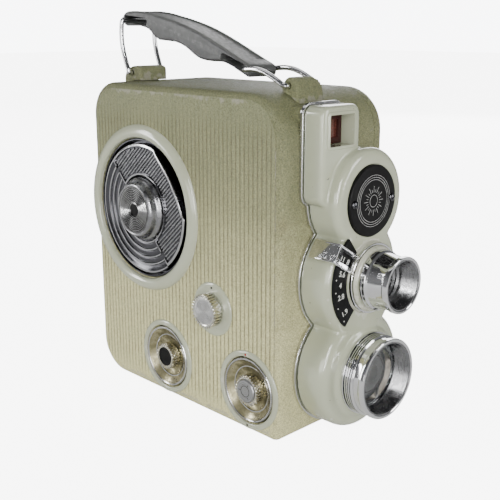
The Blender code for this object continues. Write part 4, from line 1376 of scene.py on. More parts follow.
@dataclass
class Tower:
    """The enamelled front casting: viewfinder block, nameplate boss, lens lobe and cell foot."""

    block_half: float = 9.8
    block_top: float = 119.6
    block_low: float = 86.0
    boss_radius: float = 18.2
    lobe_radius: float = 21.8
    lobe_flatter: float = 0.78
    foot_radius: float = 21.9
    foot_x: float = 1.7
    faces: tuple[float, float, float, float] = (9.6, 13.9, 14.2, 13.8)
    rounds: tuple[float, float, float, float] = (1.6, 2.6, 3.2, 3.8)

    def shapes(self, grow: float, low: float, highs: Sequence[float],
            rounds: Sequence[float]) -> list[Item]:
        """The casting's four shapes at one level, grown on request.

        Args:
            grow: How far the outline grows.
            low: Lower end along the axis.
            highs: Face levels.
            rounds: Widths of the roundings.

        Returns:
            The objects.
        """
        half = self.block_half + grow
        height = self.block_top - self.block_low
        outline = rounded_rectangle(2 * half, height + 2 * grow, 3.6 + grow, 10,
            (X_FINDER, (self.block_top + self.block_low) / 2))
        made = [outlined("block", outline, low - 0.4, highs[0], front(0, 0), rounds[0], 5)]
        radius = self.lobe_radius + grow
        lobe = [(x * self.lobe_flatter, z) for x, z in arc((0, 0), radius, -90, 90, 48)]
        lobe += arc((0, 0), radius, 90, 270, 48)[1:-1]
        made.append(outlined("lobe", lobe, low - 0.3, highs[2], front(X_LENS, Z_LENS - 1.2),
            rounds[2], 6))
        for name, x, z, size, high, rounding, start in (
                ("boss", X_LENS, Z_NAME, self.boss_radius, highs[1], rounds[1], 0.2),
                ("foot", self.foot_x, Z_CELL + 0.8, self.foot_radius, highs[3], rounds[3], 0.1)):
            made.append(cylinder(name, size + grow, low - start, high, front(x, z), 96, rounding))
        return made

    def casting(self) -> Item:
        """The casting with soft cast fillets where its shapes meet."""
        shapes = self.shapes(0.0, 1.8, self.faces, self.rounds)
        cone = turned("cone", [(0, 18.0), (11.2, 18.0), (11.5, 17.7), (11.9, 16.8), (13.2, 14.0),
            (14.6, 13.2), (15.6, 12.0), (0, 12.0)], front(X_LENS, Z_LENS))
        collar = turned("collar", [(0, 15.0), (15.6, 15.0), (16.6, 14.2), (17.6, 12.4), (0, 12.4)],
            front(X_LENS, Z_CELL))
        item = unite(shapes[0], *shapes[1:], collar)
        modify(item, "REMESH", mode="VOXEL", voxel_size=0.42 * MM)
        modify(item, "SMOOTH", factor=0.5, iterations=9)
        modify(item, "DECIMATE", decimate_type="DISSOLVE", angle_limit=math.radians(0.6))
        unite(item, cone)
        groove = turned("groove", [(10.8, 16.8), (13.6, 16.8), (13.6, 15.3), (10.8, 15.3)],
            front(X_LENS, Z_LENS))
        keep = block("keep", (90.0, 29.0, 180.0), (0, Y_FRONT - 1.8 - 14.5, 60.0))
        combine(item, [keep], "INTERSECT")
        return cut(item, groove, *self.bores())

    @staticmethod
    def bores() -> list[Item]:
        """Cutters for the viewfinder window, the lens, the cell and the nameplate seat."""
        window = block("window", (12.6, 60.0, 10.6), (X_FINDER, Y_FRONT - 20.0, Z_FINDER), HOME,
            0.5, 2)
        return [window, cylinder("lens_bore", 8.3, -6, 30, front(X_LENS, Z_LENS), 64),
            cylinder("cell_bore", 12.0, 5.3, 31, front(X_LENS, Z_CELL), 64),
            cylinder("name_seat", 12.8, 13.2, 30, front(X_LENS, Z_NAME), 64)]

    def trim(self) -> Item:
        """The chrome foot plate that shows as a line round the casting."""
        shapes = self.shapes(0.7, GAP, (1.5,) * 4, (0.25,) * 4)
        item = unite(shapes[0], *shapes[1:])
        combine(item, [block("keep", (90.0, 1.2, 180.0), (0, Y_FRONT - 0.9, 60.0))], "INTERSECT")
        window, bore, cell, seat = self.bores()
        for spare in (cell, seat):
            bpy.data.objects.remove(spare, do_unlink=True)
        return cut(item, window, bore)

    def window_frame(self) -> Item:
        """The polished lip round the viewfinder window."""
        outer = outlined("window_lip", rounded_rectangle(14.6, 12.6, 1.4, 6, (X_FINDER, Z_FINDER)),
            9.0, 9.95, front(0, 0), 0.35, 3)
        return cut(outer, block("lip_hole", (12.4, 60.0, 10.4),
            (X_FINDER, Y_FRONT - 20.0, Z_FINDER), HOME, 0.4, 2))

    def nameplate(self, fitter: Fitter) -> None:
        """The black disc with its fine rings, a plain sunburst and two screws."""
        spot = front(X_LENS, Z_NAME)
        disc = turned("nameplate", [(0, 15.0), (11.9, 15.0), (12.2, 14.95), (12.45, 14.7),
            (12.5, 14.4), (12.5, 13.5), (0, 13.5)], spot, 128)
        cut(disc, cylinder("hole_left", 1.0, 12.8, 16, front(X_LENS - 10.2, Z_NAME), 24),
            cylinder("hole_right", 1.0, 12.8, 16, front(X_LENS + 10.2, Z_NAME), 24))
        fitter.fit(disc, BLACK, "camera_body", ["nameplate_disc"])
        lines = [turned("line", [(radius, 15.04), (radius + width, 15.04), (radius + width, 14.96),
            (radius, 14.96)], spot, 128) for radius,
            width in ((8.9, 0.14), (8.1, 0.14), (7.3, 0.14), (2.0, 0.16))]
        ray = block("ray", (0.16, 2.2, 0.08), (0, 4.1, 15.0), HOME)
        short = block("short_ray", (0.14, 1.1, 0.08), (0, 3.55, 15.0), HOME)
        for index in range(24):
            source = ray if index % 2 == 0 else short
            turn = spot.matrix() @ Matrix.Rotation(math.radians(15 * index), 4, "Z")
            lines.append(copied(source, turn))
        for source in (ray, short):
            bpy.data.objects.remove(source, do_unlink=True)
        fitter.fit(merged("nameplate_lines", lines), SILVER_INK, "camera_body")
        for side, x in (("left", -10.2), ("right", 10.2)):
            seat = front(X_LENS + x, Z_NAME)
            screw = turned("nameplate_screw_" + side + "_head",
                [(0, 15.95), (0.5, 15.9), (1.0, 15.75), (1.4, 15.45), (1.5, 15.2), (1.45, 15.02),
                (0.7, 15.02), (0.7, 13.6), (0, 13.6)], seat, 32)
            cut(screw, block("slot", (4.0, 0.35, 0.6), (0, 0, 15.95),
                front(X_LENS + x, Z_NAME, 24.0)))
            fitter.fit(screw, DARK_CHROME, "camera_body",
                ["nameplate_screw_" + side])

    def build(self, fitter: Fitter) -> None:
        """Model and fit the casting, its trim, window lip and nameplate."""
        fitter.fit(self.casting(), ENAMEL, "camera_body", ["front_casting"], 40)
        fitter.fit(self.trim(), TRIM_CHROME, "camera_body", ["front_trim"])
        fitter.fit(self.window_frame(), ENAMEL, "camera_body")
        self.nameplate(fitter)


@dataclass
class ApertureControl:
    """The black aperture scale and the lever that sweeps over it."""

    outer: float = 20.2
    inner: float = 13.5
    level: float = 15.6
    lean: float = 32.0
    numbers: tuple[tuple[str, float, float, float], ...] = (("11", 149.0, 18.7, -30.0),
        ("8", 149.0, 15.4, -30.0), ("5.6", 165.0, 16.6, -18.0), ("4", 178.5, 16.8, -6.0),
        ("2.8", 193.0, 16.7, 6.0), ("1.9", 215.0, 17.2, 24.0))

    def scale(self, fitter: Fitter) -> None:
        """The scale plate with its numbers and index dots."""
        spot = front(X_LENS, Z_LENS)
        outline = arc((0, 0), self.outer, 128, 228, 48) + arc((0, 0), self.inner, 228, 128, 36)
        plate = outlined("aperture_plate", outline, 14.2, 15.2, spot, 0.08, 2)
        fitter.fit(plate, BLACK, "camera_body", ["aperture_scale"])
        marks = []
        for text, angle, radius, tilt in self.numbers:
            place = (radius * math.cos(math.radians(angle)), radius * math.sin(math.radians(angle)))
            marks.append(lettering("number", text, 2.7, 15.2, spot, place, tilt))
        for angle in (157.5, 171.5, 185.0, 203.0, 222.0):
            place = (19.2 * math.cos(math.radians(angle)), 19.2 * math.sin(math.radians(angle)))
            marks.append(turned("dot", [(0, 15.25), (0.22, 15.24), (0.26, 15.18), (0, 15.18)],
                Spot(X_LENS + place[0], Y_FRONT, Z_LENS + place[1], Side.FRONT), 12))
        fitter.fit(merged("scale_numbers", marks), INK, "camera_body")

    def lever(self) -> Item:
        """The lever: ring, windowed arm with raised rails and a tab bent over the rim."""
        spot = front(X_LENS, Z_LENS, -self.lean)
        high = self.level + 0.9
        ring = turned("iris_lever_plate", [(11.25, self.level), (12.6, self.level),
            (12.6, high - 0.15), (12.45, high), (11.4, high), (11.25, high - 0.15)], spot)
        arm = outlined("arm", [(-12.0, -3.4), (-12.0, 3.4), (-23.0, 3.55), (-23.6, 3.2),
            (-23.8, 2.6), (-23.8, -2.6), (-23.6, -3.2), (-23.0, -3.55)], self.level, high - 0.2,
            spot, 0.12, 2)
        tab = block("tab", (0.9, 7.0, high - 5.0), (-23.35, 0, (high + 4.8) / 2), spot, 0.3, 3)
        window = block("window", (7.2, 3.6, 6.0), (-17.4, 0, self.level), spot, 0.4, 2)
        cut(arm, window)
        rails = [block("rail", (12.2, 0.55, 0.6), (-17.8, side * 3.12, high - 0.1), spot, 0.15, 2)
            for side in (-1, 1)]
        rails += [block("tab_rail", (0.5, 0.55, high - 5.6), (-23.85, side * 3.1, (high + 5.4) / 2),
            spot, 0.15, 2) for side in (-1, 1)]
        return unite(ring, arm, tab, *rails)

    def build(self, fitter: Fitter) -> None:
        """Model and fit the scale and the lever."""
        self.scale(fitter)
        fitter.fit(self.lever(), CHROME, "iris_lever", ["iris_lever"])


@dataclass
class Optics:
    """Lens barrel, meter cell hood, their glasses and the viewfinder."""

    lens: Spot = field(default_factory=lambda: front(X_LENS, Z_LENS))
    cell: Spot = field(default_factory=lambda: front(X_LENS, Z_CELL))

    def barrel(self) -> Item:
        """The hooded barrel, threaded inside its mouth."""
        outside = [(9.15, 29.1), (9.3, 29.2), (9.8, 29.2), (9.98, 29.1), (10.05, 28.8),
            (10.05, 27.5), (9.95, 27.3), (9.55, 26.9), (9.5, 26.6), (9.62, 24.6), (9.62, 24.3),
            (9.66, 24.0), (9.9, 21.2), (9.95, 21.0), (10.6, 20.5), (10.7, 20.3), (10.7, 19.5),
            (10.55, 19.4), (10.55, 19.15), (10.7, 19.05), (10.7, 18.5), (10.6, 18.4)]
        inside = [(8.0, 18.4), (8.0, -9.0), (5.0, -9.0), (5.0, 16.1), (6.0, 16.2), (8.98, 21.4),
            (8.98, 29.0)]
        return turned("barrel", outside + inside, self.lens, 128)

    def barrel_lining(self) -> Item:
        """The dark threaded cone inside the barrel's mouth."""
        cone = [(8.92, 28.9), (8.92, 21.5), (5.9, 16.3), (5.05, 16.3), (5.05, 16.9), (6.0, 17.9),
            (6.0, 18.4), (6.7, 18.9), (6.7, 19.4), (7.5, 20.0), (7.5, 20.6), (8.2, 21.2)]
        return turned("barrel_lining", cone + thread(8.45, 22.0, 28.9, 0.55, 0.22), self.lens, 128)

    def hood_lining(self) -> Item:
        """The dark thread inside the cell hood."""
        return turned("hood_lining", [(13.5, 24.1), (13.5, 17.25), (12.95, 17.15)]
            + thread(13.0, 17.6, 24.1, 0.6, 0.24), self.cell, 128)

    def hood(self) -> Item:
        """The cell hood, with fluted steps outside and a thread inside."""
        outside = [(13.75, 24.35), (13.9, 24.4), (14.5, 24.4), (14.72, 24.25), (14.8, 24.0),
            (14.8, 22.8), (14.7, 22.5), (14.35, 22.15), (14.3, 21.9), (14.3, 20.0)]
        for level in (19.7, 18.8, 17.9, 17.0):
            outside += [(14.85, level), (14.9, level - 0.1), (14.9, level - 0.45),
                (14.85, level - 0.52), (14.25, level - 0.56), (14.25, level - 0.86)]
        outside += [(15.1, 16.1), (15.2, 15.95), (15.2, 15.35), (15.1, 15.2), (14.95, 15.1),
            (14.9, 14.8)]
        inside = [(11.6, 14.8), (11.6, 6.0), (10.8, 6.0), (10.8, 15.7), (12.9, 15.7), (12.9, 16.9),
            (13.56, 17.1), (13.56, 24.2)]
        return turned("cell_hood_ring", outside + inside, self.cell, 128)

    def glasses(self, fitter: Fitter) -> None:
        """The polished elements."""
        dome = [(12.55 * math.sin(a) / math.sin(0.62), 16.9 + 2.7 * (math.cos(a) - math.cos(0.62)) /
                 (1 - math.cos(0.62))) for a in [0.62 * step / 14 for step in range(15)]]
        glass = turned("cell_glass", dome + [(12.55, 16.0), (0, 16.0)], self.cell, 96)
        fitter.fit(glass, GLASS, "camera_body", ["cell_lens"])
        bulge = [(4.7 * step / 10, 13.2 + 1.4 * (1 - (step / 10) ** 2)) for step in range(11)]
        element = turned("front_element", bulge + [(4.7, 11.4), (0, 11.4)], self.lens, 64)
        fitter.fit(element, GLASS, "camera_body", ["lens_front_element"])
        back = [(4.7 * step / 8, -7.4 + (step / 8) ** 2) for step in range(8, -1, -1)]
        rear = turned("rear_element", [(0, -5.0), (4.7, -5.0)] + back, self.lens, 48)
        fitter.fit(rear, GLASS, "camera_body", ["lens_rear_element"])

    def light_cell(self, fitter: Fitter) -> None:
        """The cell plate in its dark frame with two collector strips."""
        plate = outlined("cell_plate", rounded_rectangle(16.0, 12.0, 1.0), 8.0, 9.2, self.cell,
            0.15, 2)
        fitter.fit(plate, CELL, "camera_body", ["selenium_cell"])
        strips = [block("strip", (15.0, 0.7, 0.3), (0, side * 5.2, 9.25), self.cell, 0.08, 2)
            for side in (-1, 1)]
        fitter.fit(merged("cell_strips", strips), STEEL, "camera_body")
        baffle = turned("cell_baffle", [(9.9, 11.0), (10.7, 11.0), (10.7, 7.0), (9.9, 7.0)],
            self.cell, 64)
        fitter.fit(baffle, INSIDE_BLACK, "camera_body")

    def finder(self, fitter: Fitter) -> None:
        """The viewfinder's front glass, tunnel and eyepiece."""
        pane = block("finder_pane", (12.0, 1.6, 10.0), (X_FINDER, Y_FRONT - 2.6, Z_FINDER), HOME,
            0.3, 3)
        fitter.fit(pane, FINDER_GLASS, "camera_body", ["finder_front_glass"])
        mask = block("finder_mask", (12.2, 0.5, 10.2), (X_FINDER, Y_FRONT - 4.0, Z_FINDER), HOME,
            0.1, 2)
        cut(mask, block("mask_hole", (8.6, 4.0, 6.4), (X_FINDER, Y_FRONT - 4.0, Z_FINDER), HOME,
            0.4, 2))
        fitter.fit(mask, Lacquer("finder_mask_red", colour=(0.035, 0.012, 0.01),
            dust=(0.16, 0.08, 0.06), rough=0.35), "camera_body")
        tunnel = carried(fitter.nodes, "finder_tube", 0.15)
        fitter.fit(tunnel, INSIDE_BLACK, "camera_body", ["finder_tube"])
        spot = Spot(X_FINDER, DEPTH / 2, Z_FINDER, Side.BACK)
        eyepiece = outlined("eyepiece", rounded_rectangle(12.0, 10.0, 1.6), -9.2, 0.8, spot, 0.5, 4)
        cut(eyepiece, turned("eye_bore", [(0, 3.0), (5.0, 3.0), (3.6, -1.2), (3.6, -20.0),
            (0, -20.0)], spot, 64))
        fitter.fit(eyepiece, BLACK, "camera_body", ["finder_eyepiece"])

    def build(self, fitter: Fitter) -> None:
        """Model and fit every optical piece."""
        fitter.fit(self.barrel(), CHROME, "camera_body", ["lens_barrel"], 24)
        fitter.fit(self.hood(), CHROME, "camera_body", ["cell_hood"], 24)
        fitter.fit(self.barrel_lining(), LINING, "camera_body", (), 24)
        fitter.fit(self.hood_lining(), LINING, "camera_body", (), 24)
        self.glasses(fitter)
        self.light_cell(fitter)
        self.finder(fitter)


# ---------------------------------------------------------------- winding side

NOTCH_START = 48
NOTCH_END = 118
NOTCH_DEPTH = 3.4
KEY_TURN = 221.9


@dataclass
class WindingKey:
    """The big winding disc with its fold-out handle and hub, in a cream bezel."""

    handle_radius: float = 25.6
    hub_room: float = 13.2
    chord: float = -2.6
    pin_level: float = -0.6
    rib_pitch: float = 1.28
    crests: tuple[float, ...] = (13.6, 16.6, 19.6, 22.4)
    lug_room: tuple[float, float, float] = (3.0, 4.4, 9.0)
    spot: Spot = field(default_factory=lambda: near(WINDING))
    turned_spot: Spot = field(default_factory=lambda: near(WINDING, KEY_TURN))

    def bezel(self) -> Item:
        """The enamelled ring round the key, crowned and lipped."""
        return turned("winding_ring", [(28.0, 1.3), (28.15, 1.65), (28.6, 2.0), (29.4, 2.28),
            (30.3, 2.3), (31.2, 2.1), (31.9, 1.75), (32.5, 1.2), (32.9, 0.7), (33.0, GAP),
            (28.0, GAP)], self.spot, 160)

    def cup(self) -> Item:
        """The pressed cup that the key sits in."""
        return turned("key_cup", [(26.85, 0.1), (26.95, 0.2), (27.4, 0.2), (27.5, 0.1),
            (27.5, -4.6), (3.4, -4.6), (3.4, -3.9), (26.6, -3.9), (26.8, -3.7)], self.spot, 128)

    def disc(self) -> Item:
        """The disc with bold rings on its fixed half and a pocket for the handle."""
        rings: list[Point] = [(0, 0.25), (10.6, 0.25)]
        for radius in self.crests:
            rings += [(radius - 0.75, 0.0), (radius - 0.55, -0.05), (radius - 0.3, 0.26),
                (radius, 0.36), (radius + 0.3, 0.26), (radius + 0.55, -0.05), (radius + 0.75, 0.0)]
        rings += [(24.6, 0.05), (24.9, 0.3), (25.5, 0.35), (26.0, 0.15), (26.2, -0.3), (26.2, -3.3),
            (0, -3.3)]
        item = turned("key_disc", rings, self.spot, 128)
        pocket = outlined("pocket", self.segment(30.0, self.chord - 0.45, 0.0, False), -2.4, 5,
            self.turned_spot)
        cut(pocket, *self.lug_blocks((2.2, 3.6, 20.0)))
        cut(item, pocket)
        seat = cylinder("seat", 10.2, -3.0, 0.6, self.spot, 64, 0.2)
        return cut(unite(item, seat), self.pin_room())

    def lug_blocks(self, size: Sequence[float]) -> list[Item]:
        """Blocks at the two hinge lugs."""
        return [block("lug", size, (end * 20.6, self.chord + 0.6, self.pin_level),
            self.turned_spot) for end in (-1, 1)]

    def pin_room(self) -> Item:
        """The long hole that the hinge pin lies in."""
        room = cylinder("pin_room", 0.6, -24.6, 24.6, HOME, 16)
        return settle(self._along_hinge(room), "pin_room", self.turned_spot)

    def _along_hinge(self, item: Item) -> Item:
        """Lay a bar that stands on the local Z axis along the hinge line."""
        hinge = Matrix.Translation((0, (self.chord + 1.2) * MM, self.pin_level * MM))
        item.data.transform(hinge @ Matrix.Rotation(math.radians(90), 4, "Y"))
        return item

    @staticmethod
    def rim_radius(angle: float, radius: float) -> float:
        """The handle's outer radius at an angle, drawn in where a finger gets under it."""
        if NOTCH_START < angle < NOTCH_END:
            share = (angle - NOTCH_START) / (NOTCH_END - NOTCH_START)
            return radius - NOTCH_DEPTH * math.sin(math.pi * share) ** 0.5
        return radius

    def segment(self, radius: float, chord: float, room: float, notch: bool) -> list[Point]:
        """Outline of the part of a disc beyond a chord, less the hub's room on request.

        Args:
            radius: Distance from the axis.
            chord: Height of the straight edge.
            room: Radius left free for the hub.
            notch: Whether the rim is drawn in for a finger.

        Returns:
            The points in order.
        """
        half = math.degrees(math.asin(chord / radius))
        points: list[Point] = []
        for step in range(113):
            angle = half + (180 - 2 * half) * step / 112
            reach = self.rim_radius(angle, radius) if notch else radius
            points.append((reach * math.cos(math.radians(angle)),
                reach * math.sin(math.radians(angle))))
        if room:
            inner = math.degrees(math.asin(chord / room))
            points += arc((0, 0), room, 180 - inner, inner, 48)
        return points

    def handle(self) -> Item:
        """The fold-out half with a raised rim round a sunk field."""
        item = outlined("key_handle", self.segment(self.handle_radius, self.chord, self.hub_room,
            True), -1.5, 0.1, HOME)
        settle(item, "key_handle", self.turned_spot)
        return cut(item, *self.lug_blocks(self.lug_room), self.pin_room())

    def handle_rim(self) -> Item:
        """The bright raised rim of the handle."""
        outer = outlined("handle_rim", self.segment(self.handle_radius, self.chord, self.hub_room,
            True), -0.6, 0.78, self.turned_spot, 0.35, 4)
        inner = outlined("field", self.segment(self.handle_radius - 1.0, self.chord + 0.7,
            self.hub_room + 0.7, True), -3.0, 3.0, self.turned_spot)
        return cut(outer, inner, *self.lug_blocks(self.lug_room), self.pin_room())

    def handle_ribs(self) -> Item:
        """Fine ribs across the handle's field, square to its straight edge."""
        made = []
        count = int(24.0 / self.rib_pitch)
        for index in range(-count, count + 1):
            x = index * self.rib_pitch
            low = self.chord + 1.3
            if abs(x) < self.hub_room + 1.3:
                low = max(low, math.sqrt((self.hub_room + 1.3) ** 2 - x * x))
            high = low
            while math.hypot(x, high) < self.rim_radius(math.degrees(math.atan2(high, x)),
                    self.handle_radius) - 1.7:
                high += 0.05
            if high - low > 1.2:
                rib = block("rib", (0.62, high - low, 0.6), (x, (high + low) / 2, 0.2), HOME)
                round_edges(rib, lambda edge: all((v.co.z > 0.4 * MM for v in edge.verts))
                    and abs(edge.verts[0].co.x - edge.verts[1].co.x) < 1e-06, 0.2, 3)
                made.append(rib)
        return settle(merged("handle_ribs", made), "handle_ribs", self.turned_spot)

    def hub(self) -> Item:
        """The hub with fine raised rings on its face and a polished flank."""
        profile: list[Point] = [(0, 4.5), (1.5, 4.45), (2.4, 4.5), (2.6, 4.75), (2.8, 4.95)]
        radius = 3.195
        while radius < 8.3:
            profile += [(radius, 4.9), (radius + 0.2, 5.16), (radius + 0.34, 5.16),
                (radius + 0.52, 4.9)]
            radius += 0.66
        profile += [(radius + 0.1, 4.9), (radius + 0.3, 5.1), (9.4, 5.1), (9.4, 0.9), (0, 0.9)]
        return turned("key_hub", profile, self.spot, 128)

    def skirt(self) -> Item:
        """The polished collar that swells out from the hub to its foot."""
        return turned("hub_skirt", [(9.35, 5.0), (9.6, 5.12), (9.95, 5.1), (10.35, 4.85),
            (10.65, 4.3), (10.95, 3.4), (11.2, 2.5), (11.5, 1.9), (11.9, 1.5), (12.2, 1.3),
            (12.4, 1.0), (12.5, 0.6), (12.5, -0.4), (9.35, -0.4)], self.spot, 128)

    def disc_ring_highlights(self) -> Item:
        """Bright chrome over the crests of the rings on the disc's fixed half: a painted highlight
        along them.
        """
        crests = [turned("crest", [(radius - 0.3, 0.2), (radius - 0.22, 0.4), (radius + 0.22, 0.4),
            (radius + 0.3, 0.2)], self.spot, 128) for radius in (*self.crests, 25.5)]
        pocket = outlined("pocket", self.segment(30.0, self.chord - 0.45, 0.0, False), -2.4, 5,
            self.turned_spot)
        return cut(merged("disc_ring_highlights", crests), pocket)

    def build(self, fitter: Fitter) -> None:
        """Model and fit the winding key with its bezel, cup, hub and hinge pin."""
        fitter.fit(self.bezel(), ENAMEL, "camera_body", ["winding_bezel"], 50)
        fitter.fit(self.cup(), DARK_CHROME, "camera_body", ["winding_cup"])
        fitter.fit(self.disc(), DARK_CHROME, "winding_key", ["winding_disc"], 40)
        fitter.fit(self.handle(), DARK_CHROME, "winding_handle", ["winding_handle"])
        fitter.fit(self.handle_rim(), KEY_CHROME, "winding_handle")
        fitter.fit(self.handle_ribs(), RIB_CHROME, "winding_handle")
        # The hub's ring valleys carry strong painted shade (soiling 0.9).
        hub_finish = TurnedMetal("hub_turned", spot=self.spot, colour=(0.33, 0.33, 0.33),
            rough=0.18, grime=(0.02, 0.02, 0.018), soiling=0.9, sheen=0.0,
            count=2 * math.pi / (0.66 * MM))
        fitter.fit(self.hub(), hub_finish, "winding_key", ["winding_hub"], 28)
        fitter.fit(self.skirt(), RIB_CHROME, "winding_key", (), 50)
        # Painted highlight: bright chrome laid over the dark disc's ring crests.
        fitter.fit(self.disc_ring_highlights(), KEY_CHROME, "winding_key", (), 30)
        centre = turned("hub_centre", [(0, 4.62), (1.9, 4.6), (2.3, 4.55), (2.35, 4.3), (0, 4.3)],
            self.spot, 48)
        fitter.fit(centre, BLACK, "winding_key")
        pin = cylinder("hinge_pin", 0.35, -23.6, 23.6, HOME, 20)
        round_edges(pin, at_level(23.6), 0.1, 2)
        fitter.fit(settle(self._along_hinge(pin), "hinge_pin", self.turned_spot), STEEL,
            "winding_key", ["winding_hinge_pin"])


@dataclass
class SideControls:
    """Frame-speed knob, film-speed dial and release dial."""

    index_dots: tuple[tuple[str, Point, float, float, bool],
        ...] = (("speed_index", FRAME_SPEED, 0.0, 8.3, False),
        ("release_index_top", RELEASE, 4.0, 13.7, True),
        ("release_index_low", RELEASE, 180.0, 13.7, False))

    @staticmethod
    def bezel(name: str, axis: Point, inner: float, outer: float) -> Item:
        """A low enamelled ring with a soft shoulder."""
        return turned(name, [(inner, 0.85), (inner + 0.15, 1.0), (outer - 1.0, 1.0),
            (outer - 0.5, 0.92), (outer - 0.15, 0.7), (outer, 0.4), (outer, GAP), (inner, GAP)],
            near(axis), 128)

    @staticmethod
    def dial(name: str, axis: Point) -> Item:
        """The dished dial with a rolled edge and a stepped floor."""
        return turned(name, [(0, -2.4), (6.2, -2.4), (6.6, -2.3), (8.4, -1.4), (8.5, -1.2),
            (10.6, 0.05), (11.0, 0.35), (11.35, 0.7), (11.7, 0.85), (12.1, 0.75), (12.4, 0.3),
            (12.4, -0.4), (7.0, -3.2), (0, -3.2)], near(axis), 128)

    @staticmethod
    def ticks(name: str, axis: Point, radius: float, level: float, count: int,
            long_every: int) -> Item:
        """A ring of fine engraved lines on a dial.

        Args:
            name: Name of the new object or group.
            axis: The control's Y and Z.
            radius: Distance from the axis.
            level: Height of the marks.
            count: Number of marks.
            long_every: Every which mark is long.

        Returns:
            The finished object.
        """
        made = []
        for index in range(count):
            length = 1.2 if index % long_every == 0 else 0.7
            tick = block("tick", (length, 0.14, 0.06), (radius, 0, level), HOME)
            tick.data.transform(Matrix.Rotation(2 * math.pi * index / count, 4, "Z"))
            made.append(tick)
        return settle(merged(name, made), name, near(axis))

    def speed_knob(self, fitter: Fitter) -> None:
        """The tall knurled knob with a spun face."""
        spot = near(FRAME_SPEED)
        knob = knurled("speed_knob", 6.5, 1.4, 5.2, 30, spot, 0.75, 0.3)
        unite(knob, cylinder("stem", 2.0, -6.0, 2.0, spot, 24))
        cut(knob, turned("dish", [(0, 4.85), (4.9, 4.9), (5.4, 5.1), (5.5, 6.0), (0, 6.0)], spot,
            64))
        fitter.fit(knob, Chrome("knob_chrome", colour=(0.66, 0.65, 0.6), rough=0.17, soiling=0.6),
            "frame_speed_knob", ["frame_speed_knob"])
        face = turned("speed_face", [(0, 4.98), (4.2, 4.96), (4.8, 4.98), (5.0, 4.9), (5.0, 4.7),
            (0, 4.7)], spot, 96)
        # The spun face's ring valleys carry a little painted shade.
        fitter.fit(face, TurnedMetal("speed_face_spun", spot=spot, colour=(0.56, 0.56, 0.56),
            rough=0.26, sheen=0.85, soiling=0.3), "frame_speed_knob")

    def film_knob(self, fitter: Fitter) -> None:
        """The small knurled knob with a black centre."""
        spot = near(FILM_SPEED)
        knob = knurled("film_knob", 5.3, -2.0, 1.6, 26, spot, 0.7, 0.3)
        cut(knob, cylinder("knob_face", 3.9, 1.0, 8, spot, 64))
        fitter.fit(knob, Chrome("film_knob_chrome", colour=(0.58, 0.56, 0.48), rough=0.2,
            soiling=0.6), "film_speed_knob", ["film_speed_knob"])
        cap = turned("film_knob_cap", [(0, 1.45), (3.0, 1.45), (3.2, 1.58), (3.5, 1.6), (3.7, 1.5),
            (3.85, 1.1), (0, 1.1)], spot, 64)
        fitter.fit(cap, BLACK, "film_speed_knob")

    def release(self, fitter: Fitter) -> None:
        """The release dial's knob and the button in it."""
        spot = near(RELEASE)
        knob = knurled("release_ring", 5.8, -2.0, 1.6, 28, spot, 0.7, 0.3)
        cut(knob, cylinder("button_well", 4.6, -0.9, 8, spot, 64))
        fitter.fit(knob, Chrome("release_chrome", colour=(0.62, 0.6, 0.53), rough=0.18,
            soiling=0.6), "release_knob", ["release_knob"])
        button = turned("button", [(0, 2.1), (2.6, 2.12), (3.7, 2.2), (4.1, 2.1), (4.3, 1.8),
            (4.3, 0.6), (0, 0.6)], spot, 64)
        # The button face's ring valleys carry some painted shade.
        fitter.fit(button, TurnedMetal("button_face", spot=spot, colour=(0.42, 0.43, 0.46),
            rough=0.34, sheen=0.5, soiling=0.5), "release_button",
            ["release_button"])
        marks = [turned("ring", [(2.0, 2.16), (2.2, 2.16), (2.2, 2.06), (2.0, 2.06)], spot, 48)]
        for turn in (90, 210, 330):
            marks.append(copied(block("mark", (1.1, 0.22, 0.1), (2.9, 0, 2.13), HOME),
                spot.matrix() @ Matrix.Rotation(math.radians(turn), 4, "Z")))
            bpy.data.objects.remove(bpy.data.objects["mark"], do_unlink=True)
        fitter.fit(merged("button_marks", marks), DARK_INK, "release_button")

    def build(self, fitter: Fitter) -> None:
        """Model and fit the three controls and their index dots."""
        for name, axis, inner, outer, node in (("speed_bezel", FRAME_SPEED, 2.4, 10.3,
                "frame_speed_bezel"), ("film_bezel", FILM_SPEED, 12.9, 15.1, "film_speed_bezel"),
                ("release_rim", RELEASE, 12.9, 15.1, "release_bezel")):
            fitter.fit(self.bezel(name, axis, inner, outer), ENAMEL, "camera_body",
                [node], 50)
        for name, axis, body, node in (("film_dish", FILM_SPEED, "camera_body", "film_speed_dial"),
                ("release_dish", RELEASE, "camera_body", "release_dial")):
            finish = Tarnish(name + "_tarnish", spot=near(axis))
            fitter.fit(self.dial(name, axis), finish, body, [node], 40)
            edges = [turned("edge", [(11.2, 0.5), (11.45, 0.78), (11.7, 0.9), (12.05, 0.84),
                (12.3, 0.5), (12.44, 0.0), (11.2, 0.0)], near(axis), 128),
                turned("step", [(8.3, -1.35), (8.45, -1.05), (8.75, -1.0), (8.95, -1.3)],
                near(axis), 128)]
            fitter.fit(merged(name + "_edges", edges), TRIM_CHROME, body, (), 30)
        fitter.fit(self.ticks("film_ticks", FILM_SPEED, 7.4, -1.9, 24, 4), DARK_INK, "camera_body")
        fitter.fit(self.ticks("release_ticks", RELEASE, 11.7, 0.86, 90, 1), DARK_INK, "camera_body")
        self.speed_knob(fitter)
        self.film_knob(fitter)
        self.release(fitter)
        for name, axis, angle, radius, red in self.index_dots:
            turn = math.radians(angle)
            place = (axis[0] + radius * math.sin(turn), axis[1] + radius * math.cos(turn))
            dot = turned(name, [(0, 1.12), (0.35, 1.1), (0.5, 1.0), (0.5, 0.9), (0, 0.9)],
                near(place), 16)
            fitter.fit(dot, RED_INK if red else DARK_INK, "camera_body")


# ---------------------------------------------------------------- carrying handle

